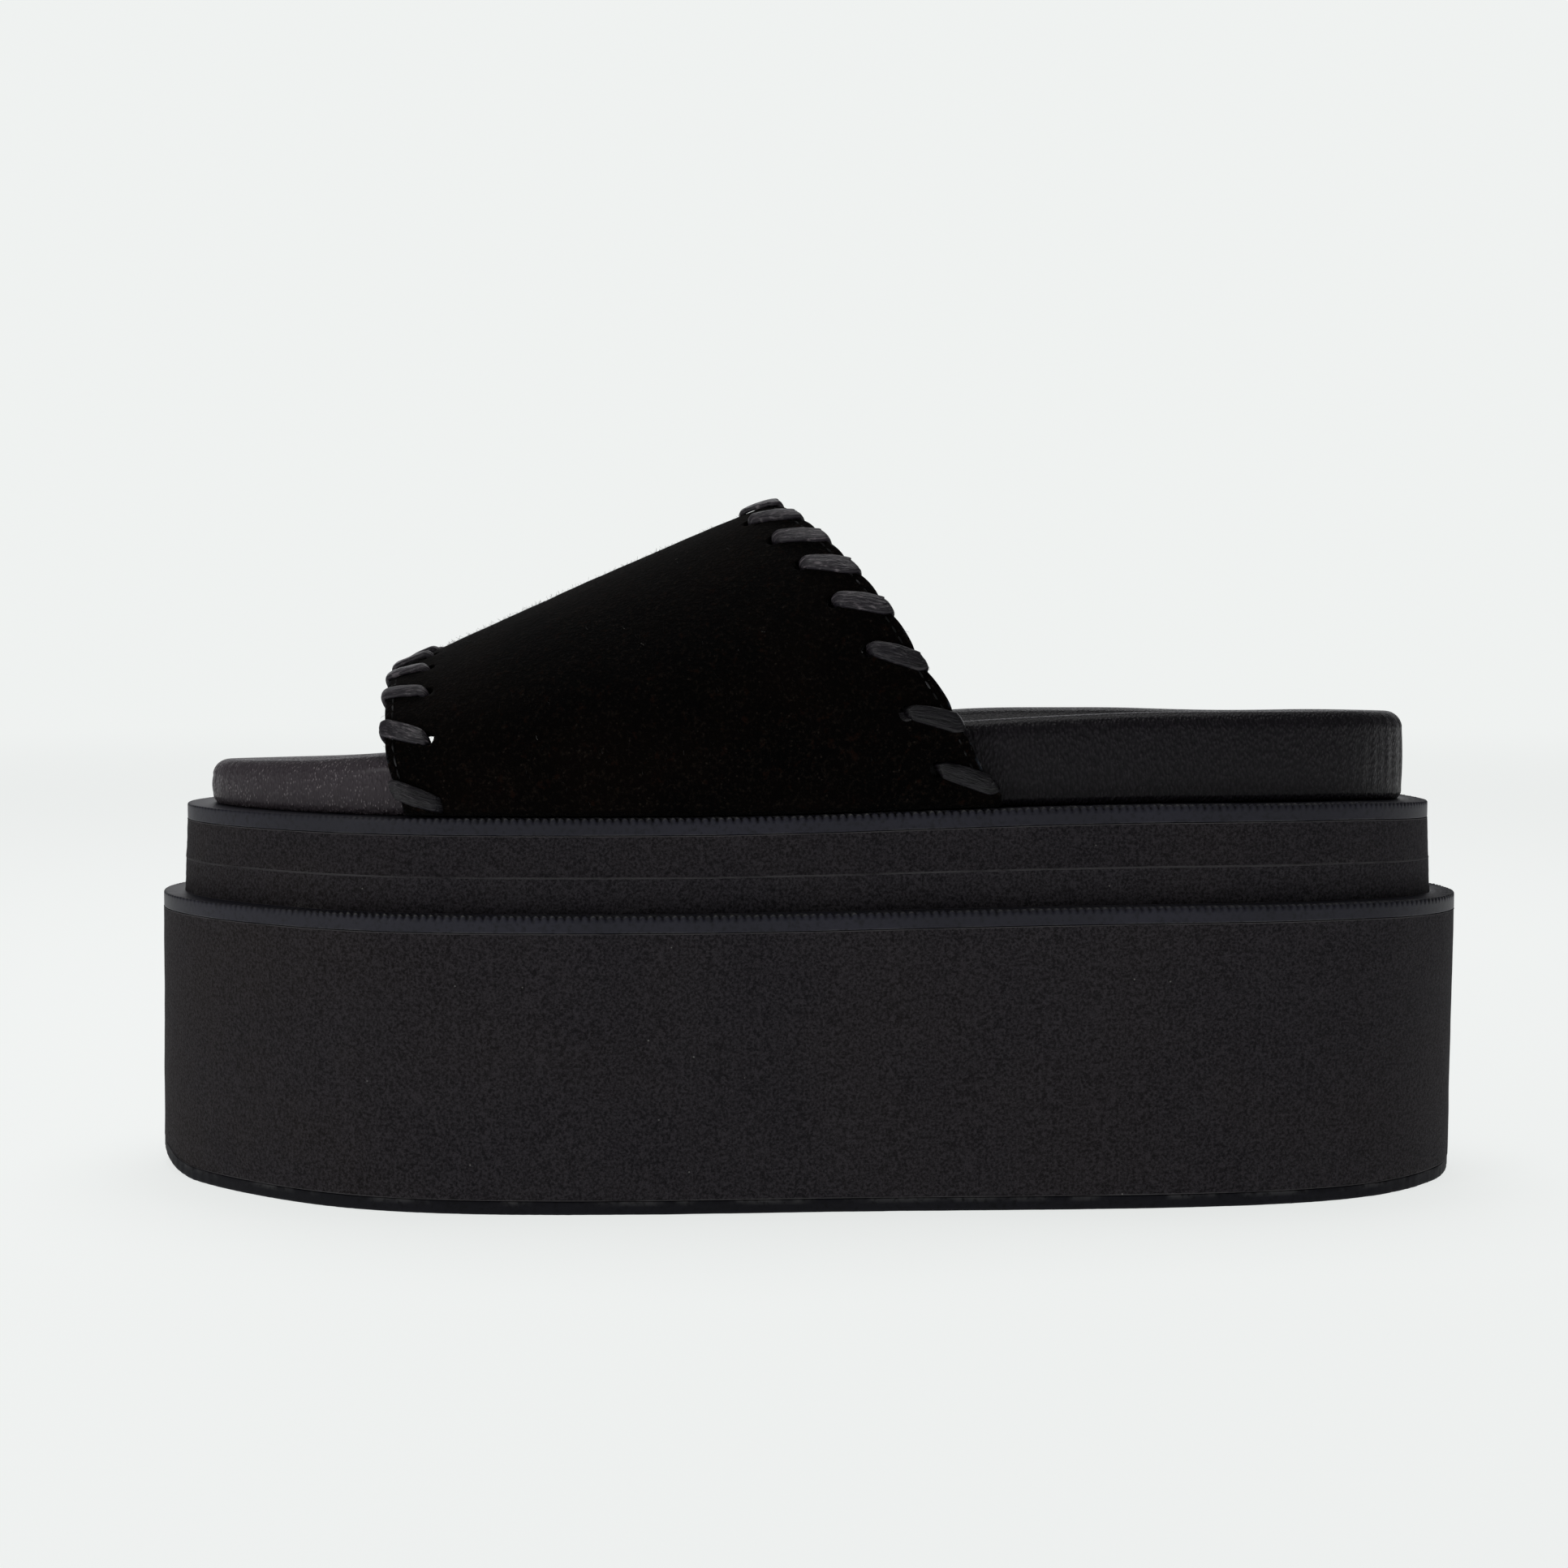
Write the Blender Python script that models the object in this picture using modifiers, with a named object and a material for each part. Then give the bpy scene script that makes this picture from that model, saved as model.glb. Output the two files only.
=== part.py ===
"""Left platform slide sandal.

A wide strap with laced edges stands on a cupped footbed and a platform of two tiers.
X runs from the toe (negative) to the heel, Y from the lateral side (negative) to the
medial side, Z up. The origin is under the middle of the platform, on the ground.
"""

import math

import bmesh
import bpy
import numpy as np
from mathutils import Vector

NAME = "platform_slide"

# Plan of the lower tier, and how far each tier above it steps in
PLATFORM_LENGTH = 0.2770
PLATFORM_WIDTH = 0.1130
TIER_LEDGE = 0.0055
FOOTBED_LEDGE = 0.0055

# Thickness of each layer, from the ground up
OUTSOLE_THICK = 0.0027
BLOCK_THICK = 0.0528
COVER_THICK = 0.0034
RISER_LOWER_THICK = 0.0070
RISER_UPPER_THICK = 0.0083
WELT_THICK = 0.0034
LAYER_GAP = 0.0003

# Rise of the layers under the heel, and the lean of their walls
COVER_RISE = 0.0013
WELT_RISE = 0.0023
BLOCK_LEAN = 0.0006
RISER_FLARE = 0.0007
TOE_ROLL_RADIUS = 0.0190
TOE_ROLL_RUN = 0.0118
HEEL_ROLL_RADIUS = 0.0200
HEEL_ROLL_RUN = 0.0060

# Footbed
FOOTBED_TOE_HEIGHT = 0.0093
FOOTBED_HEEL_HEIGHT = 0.0184
FOOTBED_MEDIAL_DROP = 0.0026
FOOTBED_EDGE_RADIUS = 0.0034
FOOTBED_TUCK = 0.0008
FOOTBED_TUCK_HEIGHT = 0.0016
CUP_DEPTH_TOE = 0.0024
CUP_DEPTH_HEEL = 0.0072
CUP_SLOPE = 0.0190

# Strap: its wall, its feet along X, its crest over the welt
STRAP_WALL = 0.0024
STRAP_STANDOFF = 0.0021
STRAP_FRONT_X = -0.0800
STRAP_REAR_X = 0.0394
STRAP_FRONT_HEIGHT = 0.0280
STRAP_REAR_HEIGHT = 0.0617
STRAP_RIDGE_BULGE = 0.0006
STRAP_FRONT_LEAN = -0.0062
STRAP_REAR_LEAN = -0.0449
STRAP_SIDE_FRONT = 0.0062
STRAP_SIDE_REAR = 0.0112
STRAP_CREST_SHIFT = 0.0020
STRAP_BEND_RADIUS = 0.0014
STRAP_TAB = 0.0120
ARCH_POWER_FRONT = 2.10
ARCH_POWER_REAR = 2.00
POCKET_GAP = 0.0004
POCKET_END_GAP = 0.0010

# Lace and its punched holes
LACE_WIDTH = 0.0032
LACE_THICK = 0.0010
LACE_NECK_WIDTH = 0.0018
LACE_NECK_THICK = 0.0008
LACE_CLEARANCE = 0.0006
HOLE_RADIUS = 0.0018
LAST_TURN_SHARE = 0.1
REAR_HOLE_INSET = 0.0078
REAR_SLANT = 0.0070
FRONT_HOLE_INSET = 0.0085
FRONT_SLANT = 0.0047
FRONT_START = 0.0016

# Fineness of the faceted solids
RING_STEPS = 42
SPLINE_STEPS = 14
ARCH_STEPS = 40
STRAP_ROWS = 9
SECTION_SAMPLES = 160
HOLE_SIDES = 12

# Plan of the lower tier, from the toe tip along the lateral side to the heel and back
# along the medial side. Columns: along as a share of the length from its middle,
# across as a share of the width from its middle.
PLAN = (
    (-0.5000, 0.0270),
    (-0.4930, -0.0840),
    (-0.4700, -0.1870),
    (-0.4350, -0.2790),
    (-0.3900, -0.3640),
    (-0.3340, -0.4400),
    (-0.2660, -0.4850),
    (-0.1800, -0.5000),
    (-0.0800, -0.4930),
    (0.0350, -0.4740),
    (0.1600, -0.4610),
    (0.2700, -0.4430),
    (0.3550, -0.4090),
    (0.4220, -0.3440),
    (0.4680, -0.2440),
    (0.4930, -0.1420),
    (0.5000, -0.0400),
    (0.4920, 0.0720),
    (0.4660, 0.1870),
    (0.4190, 0.2800),
    (0.3500, 0.3370),
    (0.2500, 0.3650),
    (0.1200, 0.3950),
    (-0.0100, 0.4430),
    (-0.1300, 0.4900),
    (-0.2250, 0.5000),
    (-0.3150, 0.4700),
    (-0.3900, 0.4020),
    (-0.4490, 0.2880),
    (-0.4860, 0.1600),
)

# Rise of the layers. Columns: along from the toe as a share of the length, share of rise.
RISE = (
    (0.00, 0.00),
    (0.41, 0.00),
    (0.50, 0.16),
    (0.59, 0.50),
    (0.68, 0.84),
    (0.77, 1.00),
    (0.89, 0.96),
    (1.00, 0.20),
)

# Height of the footbed rim. Columns: along from its toe as a share of its length,
# share of the way from the toe height to the heel height.
RIM = (
    (0.00, 0.00),
    (0.05, 0.07),
    (0.10, 0.14),
    (0.18, 0.32),
    (0.35, 0.56),
    (0.50, 0.76),
    (0.65, 0.92),
    (0.80, 1.00),
    (1.00, 1.00),
)

# How far the rim drops on the medial side, where it is high only at the arch.
# Columns: along from the toe as a share of the footbed's length, share of the drop.
MEDIAL_RIM = (
    (0.00, 0.80),
    (0.15, 1.00),
    (0.30, 0.75),
    (0.50, 0.20),
    (0.64, 0.10),
    (0.75, 0.55),
    (0.88, 1.00),
    (1.00, 0.80),
)

# Where the lace crosses each edge of the strap, from the lateral foot to the medial one,
# as shares of the edge's length
REAR_STITCHES = (0.016, 0.090, 0.164, 0.236, 0.298, 0.357, 0.415, 0.472,
                 0.528, 0.586, 0.645, 0.708, 0.776, 0.846, 0.912)
FRONT_STITCHES = (0.025, 0.127, 0.227, 0.326, 0.426, 0.526, 0.626, 0.726, 0.826, 0.926)

# Slope inside the cup. Columns: share of the slope's run in from the rim, share of depth.
CUP = (
    (0.00, 0.00),
    (0.20, 0.10),
    (0.45, 0.50),
    (0.72, 0.88),
    (1.00, 1.00),
)

# Lean of the strap's two edges. Columns: share of the crest's height, share of the lean.
FRONT_EDGE = ((0.0, 0.0), (0.15, 0.26), (0.40, 0.53), (0.70, 0.72), (1.0, 1.0))
REAR_EDGE = (
    (0.00, 0.00),
    (0.10, 0.10),
    (0.20, 0.16),
    (0.30, 0.23),
    (0.40, 0.315),
    (0.50, 0.395),
    (0.60, 0.475),
    (0.70, 0.575),
    (0.80, 0.69),
    (0.90, 0.82),
    (1.00, 1.00),
)

# One turn of the lace round the strap's edge, from hole to hole.
# Columns: depth in from the edge as a share of the hole's inset, a further depth in lace
# offsets, offset from the strap's middle in lace offsets, share of the way along the
# outer bar, share along the inner run, share of the neck.
TURN = (
    (1.00, 0.00, 0.00, 0.00, 0.00, 1.0),
    (1.00, -0.34, 0.90, 0.02, 0.00, 0.8),
    (1.00, -1.10, 1.00, 0.10, 0.00, 0.1),
    (0.50, 0.00, 1.00, 0.50, 0.00, 0.0),
    (0.00, 0.14, 1.00, 0.93, 0.00, 0.0),
    (0.00, -0.72, 0.83, 1.00, 0.00, 0.0),
    (0.00, -1.00, 0.00, 1.00, 0.00, 0.0),
    (0.00, -0.72, -0.83, 1.00, 0.00, 0.0),
    (0.00, 0.14, -1.00, 1.00, 0.07, 0.0),
    (0.50, 0.00, -1.00, 1.00, 0.50, 0.0),
    (1.00, -1.10, -1.00, 1.00, 0.90, 0.1),
    (1.00, -0.34, -0.90, 1.00, 0.98, 0.8),
)

# Colour, roughness and metallic value of each material
MATERIALS = {
    "outsole_rubber": ((0.012, 0.012, 0.016), 0.55, 0.0),
    "tier_rubber": ((0.016, 0.016, 0.023), 0.42, 0.0),
    "tier_foam": ((0.021, 0.018, 0.018), 0.90, 0.0),
    "footbed_leather": ((0.022, 0.018, 0.024), 0.45, 0.0),
    "strap_suede": ((0.006, 0.005, 0.005), 0.95, 0.0),
    "lace_leather": ((0.020, 0.018, 0.022), 0.50, 0.0),
}


def read_table(table, share):
    """Smooth value of a two-column table that does not overshoot its rows."""
    if share <= table[0][0]:
        return table[0][1]
    if share >= table[-1][0]:
        return table[-1][1]
    slopes = [(b[1] - a[1]) / (b[0] - a[0]) for a, b in zip(table, table[1:])]
    tangents = [slopes[0]]
    for before, after in zip(slopes, slopes[1:]):
        together = before + after
        tangents.append(2.0 * before * after / together if before * after > 0.0 else 0.0)
    tangents.append(slopes[-1])
    row = max(i for i in range(len(slopes)) if table[i][0] <= share)
    width = table[row + 1][0] - table[row][0]
    u = (share - table[row][0]) / width
    rise = slopes[row] * width
    start = tangents[row] * width
    end = tangents[row + 1] * width
    return (table[row][1] + start * u + (3.0 * rise - 2.0 * start - end) * u * u
            + (start + end - 2.0 * rise) * u ** 3)


def mix(a, b, share):
    return a + (b - a) * share


class Plan:
    """Closed smooth curve through the plan's points, and curves parallel to it."""

    def __init__(self):
        points = np.array([(a * PLATFORM_LENGTH, b * PLATFORM_WIDTH) for a, b in PLAN])
        count = len(points)
        steps = np.linalg.norm(np.roll(points, -1, axis=0) - points, axis=1)
        system = np.zeros((count, count))
        right = np.zeros((count, 2))
        for i in range(count):
            before = steps[i - 1]
            after = steps[i]
            system[i, i - 1] = before
            system[i, i] = 2.0 * (before + after)
            system[i, (i + 1) % count] = after
            right[i] = 6.0 * ((points[(i + 1) % count] - points[i]) / after
                              - (points[i] - points[i - 1]) / before)
        bends = np.linalg.solve(system, right)
        dense = []
        normals = []
        for i in range(count):
            j = (i + 1) % count
            h = steps[i]
            for k in range(SPLINE_STEPS):
                u = h * k / SPLINE_STEPS
                v = h - u
                dense.append(bends[i] * v ** 3 / (6.0 * h) + bends[j] * u ** 3 / (6.0 * h)
                             + (points[i] / h - bends[i] * h / 6.0) * v
                             + (points[j] / h - bends[j] * h / 6.0) * u)
                run = (-bends[i] * v ** 2 / (2.0 * h) + bends[j] * u ** 2 / (2.0 * h)
                       - (points[i] / h - bends[i] * h / 6.0)
                       + (points[j] / h - bends[j] * h / 6.0))
                normal = np.array((run[1], -run[0])) / np.linalg.norm(run)
                normals.append(normal)
        self.points = np.array(dense)
        self.normals = np.array(normals)
        if np.dot(self.normals[0], self.points[0]) < 0.0:
            self.normals = -self.normals
        self.stations = self.pick_stations()
        self.sides = {}

    def pick_stations(self):
        """Places along the dense curve, closest together at the two tips."""
        x = self.points[:, 0]
        toe = int(np.argmin(x))
        heel = int(np.argmax(x))
        count = len(x)
        halves = ((toe, heel if heel > toe else heel + count, False),
                  (heel if heel > toe else heel + count, toe + count, True))
        places = []
        for first, last, back in halves:
            index = np.arange(first, last + 1)
            run = x[index % count]
            order = np.argsort(run)
            for k in range(RING_STEPS):
                share = 0.5 * (1.0 - math.cos(math.pi * k / RING_STEPS))
                share = 1.0 - share if back else share
                want = mix(run.min(), run.max(), share)
                places.append(float(np.interp(want, run[order], index[order])))
        return places

    def at(self, place, grow):
        low = int(math.floor(place))
        share = place - low
        count = len(self.points)
        a = self.points[low % count] + self.normals[low % count] * grow
        b = self.points[(low + 1) % count] + self.normals[(low + 1) % count] * grow
        return mix(a, b, share)

    def ring(self, grow):
        return [self.at(place, grow) for place in self.stations]

    def side(self, grow, x, medial):
        """Y of the parallel curve at an X, on the lateral or the medial side."""
        key = (round(grow, 7), medial)
        if key not in self.sides:
            curve = self.points + self.normals * grow
            toe = int(np.argmin(curve[:, 0]))
            heel = int(np.argmax(curve[:, 0]))
            count = len(curve)
            if medial:
                index = np.arange(heel, toe + count + 1 if toe < heel else toe + 1) % count
            else:
                index = np.arange(toe, heel + 1 if heel > toe else heel + count + 1) % count
            part = curve[index]
            part = part[np.argsort(part[:, 0])]
            self.sides[key] = (part[:, 0], part[:, 1])
        xs, ys = self.sides[key]
        return float(np.interp(x, xs, ys))


PLAN_CURVE = Plan()
FOOTBED_GROW = -TIER_LEDGE - FOOTBED_LEDGE
STRAP_GROW = FOOTBED_GROW + STRAP_STANDOFF + 0.5 * STRAP_WALL
COVER_TOP = OUTSOLE_THICK + BLOCK_THICK + COVER_THICK
RISER_TOP = COVER_TOP + RISER_LOWER_THICK + RISER_UPPER_THICK
WELT_TOP = RISER_TOP + WELT_THICK
LACE_OFFSET = 0.5 * STRAP_WALL + LACE_CLEARANCE + 0.5 * LACE_THICK


def rise(x, height):
    """Height of a layer's surface at X: the rise grows with height over the cover."""
    share = read_table(RISE, x / PLATFORM_LENGTH + 0.5)
    up = max(0.0, (height - COVER_TOP) / (WELT_TOP - COVER_TOP))
    return share * mix(COVER_RISE, WELT_RISE, up) + height


def roll(x):
    """How far the ground side of the platform is rolled up at its tips."""
    toe = -0.5 * PLATFORM_LENGTH + TOE_ROLL_RUN - x
    heel = x - 0.5 * PLATFORM_LENGTH + HEEL_ROLL_RUN
    if toe > 0.0:
        return TOE_ROLL_RADIUS - math.sqrt(max(TOE_ROLL_RADIUS ** 2 - toe ** 2, 0.0))
    if heel > 0.0:
        return HEEL_ROLL_RADIUS - math.sqrt(max(HEEL_ROLL_RADIUS ** 2 - heel ** 2, 0.0))
    return 0.0


def welt_top(x):
    return rise(x, WELT_TOP)


def cap(bm, ring, up):
    """Close a ring with strips that run from side to side."""
    half = len(ring) // 2
    for k in range(half):
        near = [ring[k], ring[k + 1]]
        far = [ring[-k - 1], ring[-k]] if k else [ring[-1]]
        if k == half - 1:
            far = [ring[-k]]
        face = near + far
        bm.faces.new(face if up else face[::-1])


def loft_rings(bm, rings):
    for low, high in zip(rings, rings[1:]):
        for k in range(len(low)):
            j = (k + 1) % len(low)
            bm.faces.new((low[k], low[j], high[j], high[k]))


def new_object(name, bm, slot, collection):
    bmesh.ops.recalc_face_normals(bm, faces=bm.faces)
    mesh = bpy.data.meshes.new(name)
    bm.to_mesh(mesh)
    bm.free()
    obj = bpy.data.objects.new(name, mesh)
    collection.objects.link(obj)
    if slot:
        mesh.materials.append(bpy.data.materials[slot])
        mesh.shade_smooth()
        mesh.set_sharp_from_angle(angle=math.radians(35.0))
    return obj


def make_layer(name, slot, collection, low_rows, top_rows):
    """A layer between two sets of rings. Each row: grow, shift along X, height at X."""
    bm = bmesh.new()
    rings = []
    for grow, shift, height in low_rows + top_rows:
        ring = [bm.verts.new((x + shift, y, height(x))) for x, y in PLAN_CURVE.ring(grow)]
        rings.append(ring)
    loft_rings(bm, rings)
    cap(bm, rings[0], False)
    cap(bm, rings[-1], True)
    return new_object(name, bm, slot, collection)


def make_platform(collection):
    lean = 0.5 * BLOCK_LEAN
    block_low = OUTSOLE_THICK + LAYER_GAP
    block_top = OUTSOLE_THICK + BLOCK_THICK
    lean_at_outsole = -lean + BLOCK_LEAN * OUTSOLE_THICK / block_top
    make_layer("outsole", "outsole_rubber", collection,
               [(0.0, -lean, roll)],
               [(0.0, lean_at_outsole, lambda x: roll(x) + OUTSOLE_THICK)])
    make_layer("platform_block", "tier_foam", collection,
               [(0.0, lean_at_outsole, lambda x: roll(x) + block_low)],
               [(0.0, lean, lambda x: rise(x, block_top))])
    make_layer("platform_cover", "tier_rubber", collection,
               [(0.0, lean, lambda x: rise(x, block_top + LAYER_GAP))],
               [(0.0, lean, lambda x: rise(x, COVER_TOP))])
    riser_mid = COVER_TOP + RISER_LOWER_THICK
    low = -TIER_LEDGE + RISER_FLARE
    mid = -TIER_LEDGE + RISER_FLARE * RISER_UPPER_THICK / (RISER_TOP - COVER_TOP)
    make_layer("riser_lower", "tier_foam", collection,
               [(low, 0.0, lambda x: rise(x, COVER_TOP + LAYER_GAP))],
               [(mid, 0.0, lambda x: rise(x, riser_mid))])
    make_layer("riser_upper", "tier_foam", collection,
               [(mid, 0.0, lambda x: rise(x, riser_mid + LAYER_GAP))],
               [(-TIER_LEDGE, 0.0, lambda x: rise(x, RISER_TOP))])
    make_layer("welt", "tier_rubber", collection,
               [(-TIER_LEDGE, 0.0, lambda x: rise(x, RISER_TOP + LAYER_GAP))],
               [(-TIER_LEDGE, 0.0, welt_top)])


def rim_height(x, y):
    """Height of the footbed rim over the ground at a place."""
    length = PLATFORM_LENGTH + 2.0 * FOOTBED_GROW
    along = x / length + 0.5
    across = min(max(2.0 * y / PLATFORM_WIDTH + 0.2, 0.0), 1.0)
    drop = FOOTBED_MEDIAL_DROP * read_table(MEDIAL_RIM, along) * across * across * (3.0 - 2.0 * across)
    height = mix(FOOTBED_TOE_HEIGHT, FOOTBED_HEEL_HEIGHT, read_table(RIM, along))
    return welt_top(x) + height - drop


def cup_depth(x):
    length = PLATFORM_LENGTH + 2.0 * FOOTBED_GROW
    return mix(CUP_DEPTH_TOE, CUP_DEPTH_HEEL, read_table(RIM, x / length + 0.5))


def make_footbed(collection, cutters):
    rows = [(-FOOTBED_TUCK, lambda x, y: welt_top(x) + LAYER_GAP),
            (0.0, lambda x, y: welt_top(x) + LAYER_GAP + FOOTBED_TUCK_HEIGHT)]
    for degrees in (0.0, 30.0, 60.0, 90.0):
        a = math.radians(degrees)
        inward = FOOTBED_EDGE_RADIUS * (1.0 - math.cos(a))
        down = FOOTBED_EDGE_RADIUS * (1.0 - math.sin(a))
        rows.append((-inward, lambda x, y, down=down: rim_height(x, y) - down))
    for run, share in CUP[1:]:
        inward = FOOTBED_EDGE_RADIUS + run * CUP_SLOPE
        rows.append((-inward, lambda x, y, share=share: (
            rim_height(x, y) - share * cup_depth(x))))
    bm = bmesh.new()
    rings = []
    for grow, height in rows:
        ring = PLAN_CURVE.ring(FOOTBED_GROW + grow)
        rings.append([bm.verts.new((x, y, height(x, y))) for x, y in ring])
    loft_rings(bm, rings)
    cap(bm, rings[0], False)
    cap(bm, rings[-1], True)
    footbed = new_object("footbed", bm, "footbed_leather", collection)
    for medial in (False, True):
        add_cut(footbed, make_pocket(medial, cutters))
    return footbed


def make_pocket(medial, cutters):
    """Space under the footbed's edge for one of the strap's tabs."""
    way = 1.0 if medial else -1.0
    bm = bmesh.new()
    sections = []
    first = STRAP_FRONT_X - POCKET_END_GAP
    last = STRAP_REAR_X + POCKET_END_GAP
    for k in range(STRAP_ROWS + 1):
        x = mix(first, last, k / STRAP_ROWS)
        y = PLAN_CURVE.side(STRAP_GROW, x, medial)
        outer = y + way * STRAP_TAB
        inner = y - way * (STRAP_TAB + POCKET_END_GAP)
        low = welt_top(x) - STRAP_TAB
        top = welt_top(x) + LAYER_GAP + STRAP_WALL + POCKET_GAP
        corners = ((outer, low), (inner, low), (inner, top), (outer, top))
        sections.append([bm.verts.new((x, b, c)) for b, c in corners])
    loft_rings(bm, sections)
    bm.faces.new(sections[0])
    bm.faces.new(sections[-1])
    side = "medial" if medial else "lateral"
    return new_cutter("pocket_" + side, bm, cutters)


def new_cutter(name, bm, cutters):
    obj = new_object(name, bm, None, cutters)
    obj.hide_render = True
    obj.display_type = "WIRE"
    return obj


def add_cut(obj, cutter):
    cut = obj.modifiers.new("cut_" + cutter.name, "BOOLEAN")
    cut.operation = "DIFFERENCE"
    cut.solver = "EXACT"
    cut.object = cutter


def strap_section(t):
    """Middle line of the strap at a share of the way from its front edge to its rear.

    It runs from the bend at the lateral foot over the crest to the medial one.
    """
    foot_x = mix(STRAP_FRONT_X, STRAP_REAR_X, t)
    low = welt_top(foot_x) + LAYER_GAP + 0.5 * STRAP_WALL + STRAP_BEND_RADIUS
    spring = low + mix(STRAP_SIDE_FRONT, STRAP_SIDE_REAR, t)
    crest = (mix(welt_top(STRAP_FRONT_X) + STRAP_FRONT_HEIGHT,
                 welt_top(STRAP_REAR_X) + STRAP_REAR_HEIGHT, t)
             + 4.0 * STRAP_RIDGE_BULGE * t * (1.0 - t))
    power = 2.0 / mix(ARCH_POWER_FRONT, ARCH_POWER_REAR, t)
    side_steps = SECTION_SAMPLES // 8
    arch_steps = SECTION_SAMPLES // 2 - side_steps
    half = []
    for k in range(side_steps):
        half.append((1.0, mix(low, spring, k / side_steps)))
    for k in range(arch_steps + 1):
        a = 0.5 * math.pi * k / arch_steps
        half.append((max(math.cos(a), 0.0) ** power,
                     mix(spring, crest, math.sin(a) ** power)))
    points = []
    for medial in (False, True):
        part = []
        for out, z in half:
            share = (z - low) / (crest - low)
            lean = mix(STRAP_FRONT_LEAN * read_table(FRONT_EDGE, share),
                       STRAP_REAR_LEAN * read_table(REAR_EDGE, share), t)
            x = foot_x + lean
            near = PLAN_CURVE.side(STRAP_GROW, x, False)
            far = PLAN_CURVE.side(STRAP_GROW, x, True)
            middle = 0.5 * (near + far) + STRAP_CREST_SHIFT
            part.append((x, mix(middle, far if medial else near, out), z))
        points += part[::-1][1:] if medial else part
    return np.array(points)


class StrapSurface:
    """Point of the strap's middle surface from two shares: across and along."""

    def __init__(self):
        self.sections = {}

    def section(self, t):
        key = round(t, 5)
        if key not in self.sections:
            points = strap_section(key)
            steps = np.linalg.norm(np.diff(points, axis=0), axis=1)
            self.sections[key] = (points, np.concatenate(([0.0], np.cumsum(steps))))
        return self.sections[key]

    def point(self, s, t):
        points, lengths = self.section(t)
        want = s * lengths[-1]
        if want < 0.0 or s > 1.0:
            end = 0 if want < 0.0 else -1
            beyond = want if want < 0.0 else lengths[-1] - want
            return points[end] + np.array((0.0, 0.0, beyond))
        return np.array([np.interp(want, lengths, points[:, i]) for i in range(3)])

    def frame(self, s, t):
        """Point, way across, way along and outward normal."""
        step = 0.004
        here = self.point(s, t)
        across = self.point(s + step, t) - self.point(s - step, t)
        along = self.point(s, t + step) - self.point(s, t - step)
        normal = np.cross(along, across)
        normal /= np.linalg.norm(normal)
        return here, across / (2.0 * step), along / (2.0 * step), normal

    def inset(self, s, t_edge, depth):
        """Shares of the point at a depth in from an edge, square to that edge."""
        _, across, along, _ = self.frame(s, t_edge)
        edge = across / np.linalg.norm(across)
        inward = along if t_edge < 0.5 else -along
        square = inward - np.dot(inward, edge) * edge
        square /= np.linalg.norm(square)
        system = np.array(((across @ across, across @ along), (across @ along, along @ along)))
        ds, dt = np.linalg.solve(system, np.array((across @ square, along @ square)))
        return s + ds * depth, t_edge + dt * depth


SURFACE = StrapSurface()


def strap_foot(t, medial):
    """Bend and tab at one foot, from the tab's inner end up to the side."""
    foot_x = mix(STRAP_FRONT_X, STRAP_REAR_X, t)
    y = PLAN_CURVE.side(STRAP_GROW, foot_x, medial)
    way = 1.0 if medial else -1.0
    low = welt_top(foot_x) + LAYER_GAP + 0.5 * STRAP_WALL
    centre_y = y - way * STRAP_BEND_RADIUS
    centre_z = low + STRAP_BEND_RADIUS
    points = [(foot_x, y - way * STRAP_TAB, low)]
    for degrees in (90.0, 60.0, 30.0):
        a = math.radians(degrees)
        points.append((foot_x, centre_y + way * STRAP_BEND_RADIUS * math.cos(a),
                       centre_z - STRAP_BEND_RADIUS * math.sin(a)))
    return points


def make_strap(collection, cutters):
    bm = bmesh.new()
    rows = []
    for j in range(STRAP_ROWS + 1):
        t = j / STRAP_ROWS
        line = strap_foot(t, False)
        line += [tuple(SURFACE.point(k / ARCH_STEPS, t)) for k in range(ARCH_STEPS + 1)]
        line += strap_foot(t, True)[::-1]
        rows.append([bm.verts.new(point) for point in line])
    for low, high in zip(rows, rows[1:]):
        for k in range(len(low) - 1):
            bm.faces.new((low[k], low[k + 1], high[k + 1], high[k]))
    strap = new_object("strap", bm, "strap_suede", collection)
    wall = strap.modifiers.new("wall", "SOLIDIFY")
    wall.thickness = STRAP_WALL
    wall.offset = 0.0
    wall.use_even_offset = True
    wall.use_rim = True
    add_cut(strap, make_holes(cutters))
    return strap


def stitch_rows(rear):
    """Where each bar crosses the edge and where it starts, as lengths along the edge.

    The first bar of the front lace starts at the strap's foot and has no hole.
    """
    length = SURFACE.section(1.0 if rear else 0.0)[1][-1]
    edges = [share * length for share in (REAR_STITCHES if rear else FRONT_STITCHES)]
    if rear:
        return edges, [edge + REAR_SLANT for edge in edges], length
    return edges, [FRONT_START] + [edge - FRONT_SLANT for edge in edges[1:]], length


def make_holes(cutters):
    """Round punches through the strap, all in one cutter."""
    bm = bmesh.new()
    for rear in (False, True):
        edges, holes, length = stitch_rows(rear)
        inset = REAR_HOLE_INSET if rear else FRONT_HOLE_INSET
        for hole in holes if rear else holes[1:]:
            s, t = SURFACE.inset(hole / length, 1.0 if rear else 0.0, inset)
            point, _, _, normal = SURFACE.frame(s, t)
            turn = Vector((0.0, 0.0, 1.0)).rotation_difference(Vector(normal)).to_matrix()
            made = bmesh.ops.create_cone(bm, cap_ends=True, segments=HOLE_SIDES,
                                         radius1=HOLE_RADIUS, radius2=HOLE_RADIUS,
                                         depth=2.0 * STRAP_WALL)
            for vert in made["verts"]:
                vert.co = turn @ vert.co + Vector(point)
    return new_cutter("punches", bm, cutters)


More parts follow.
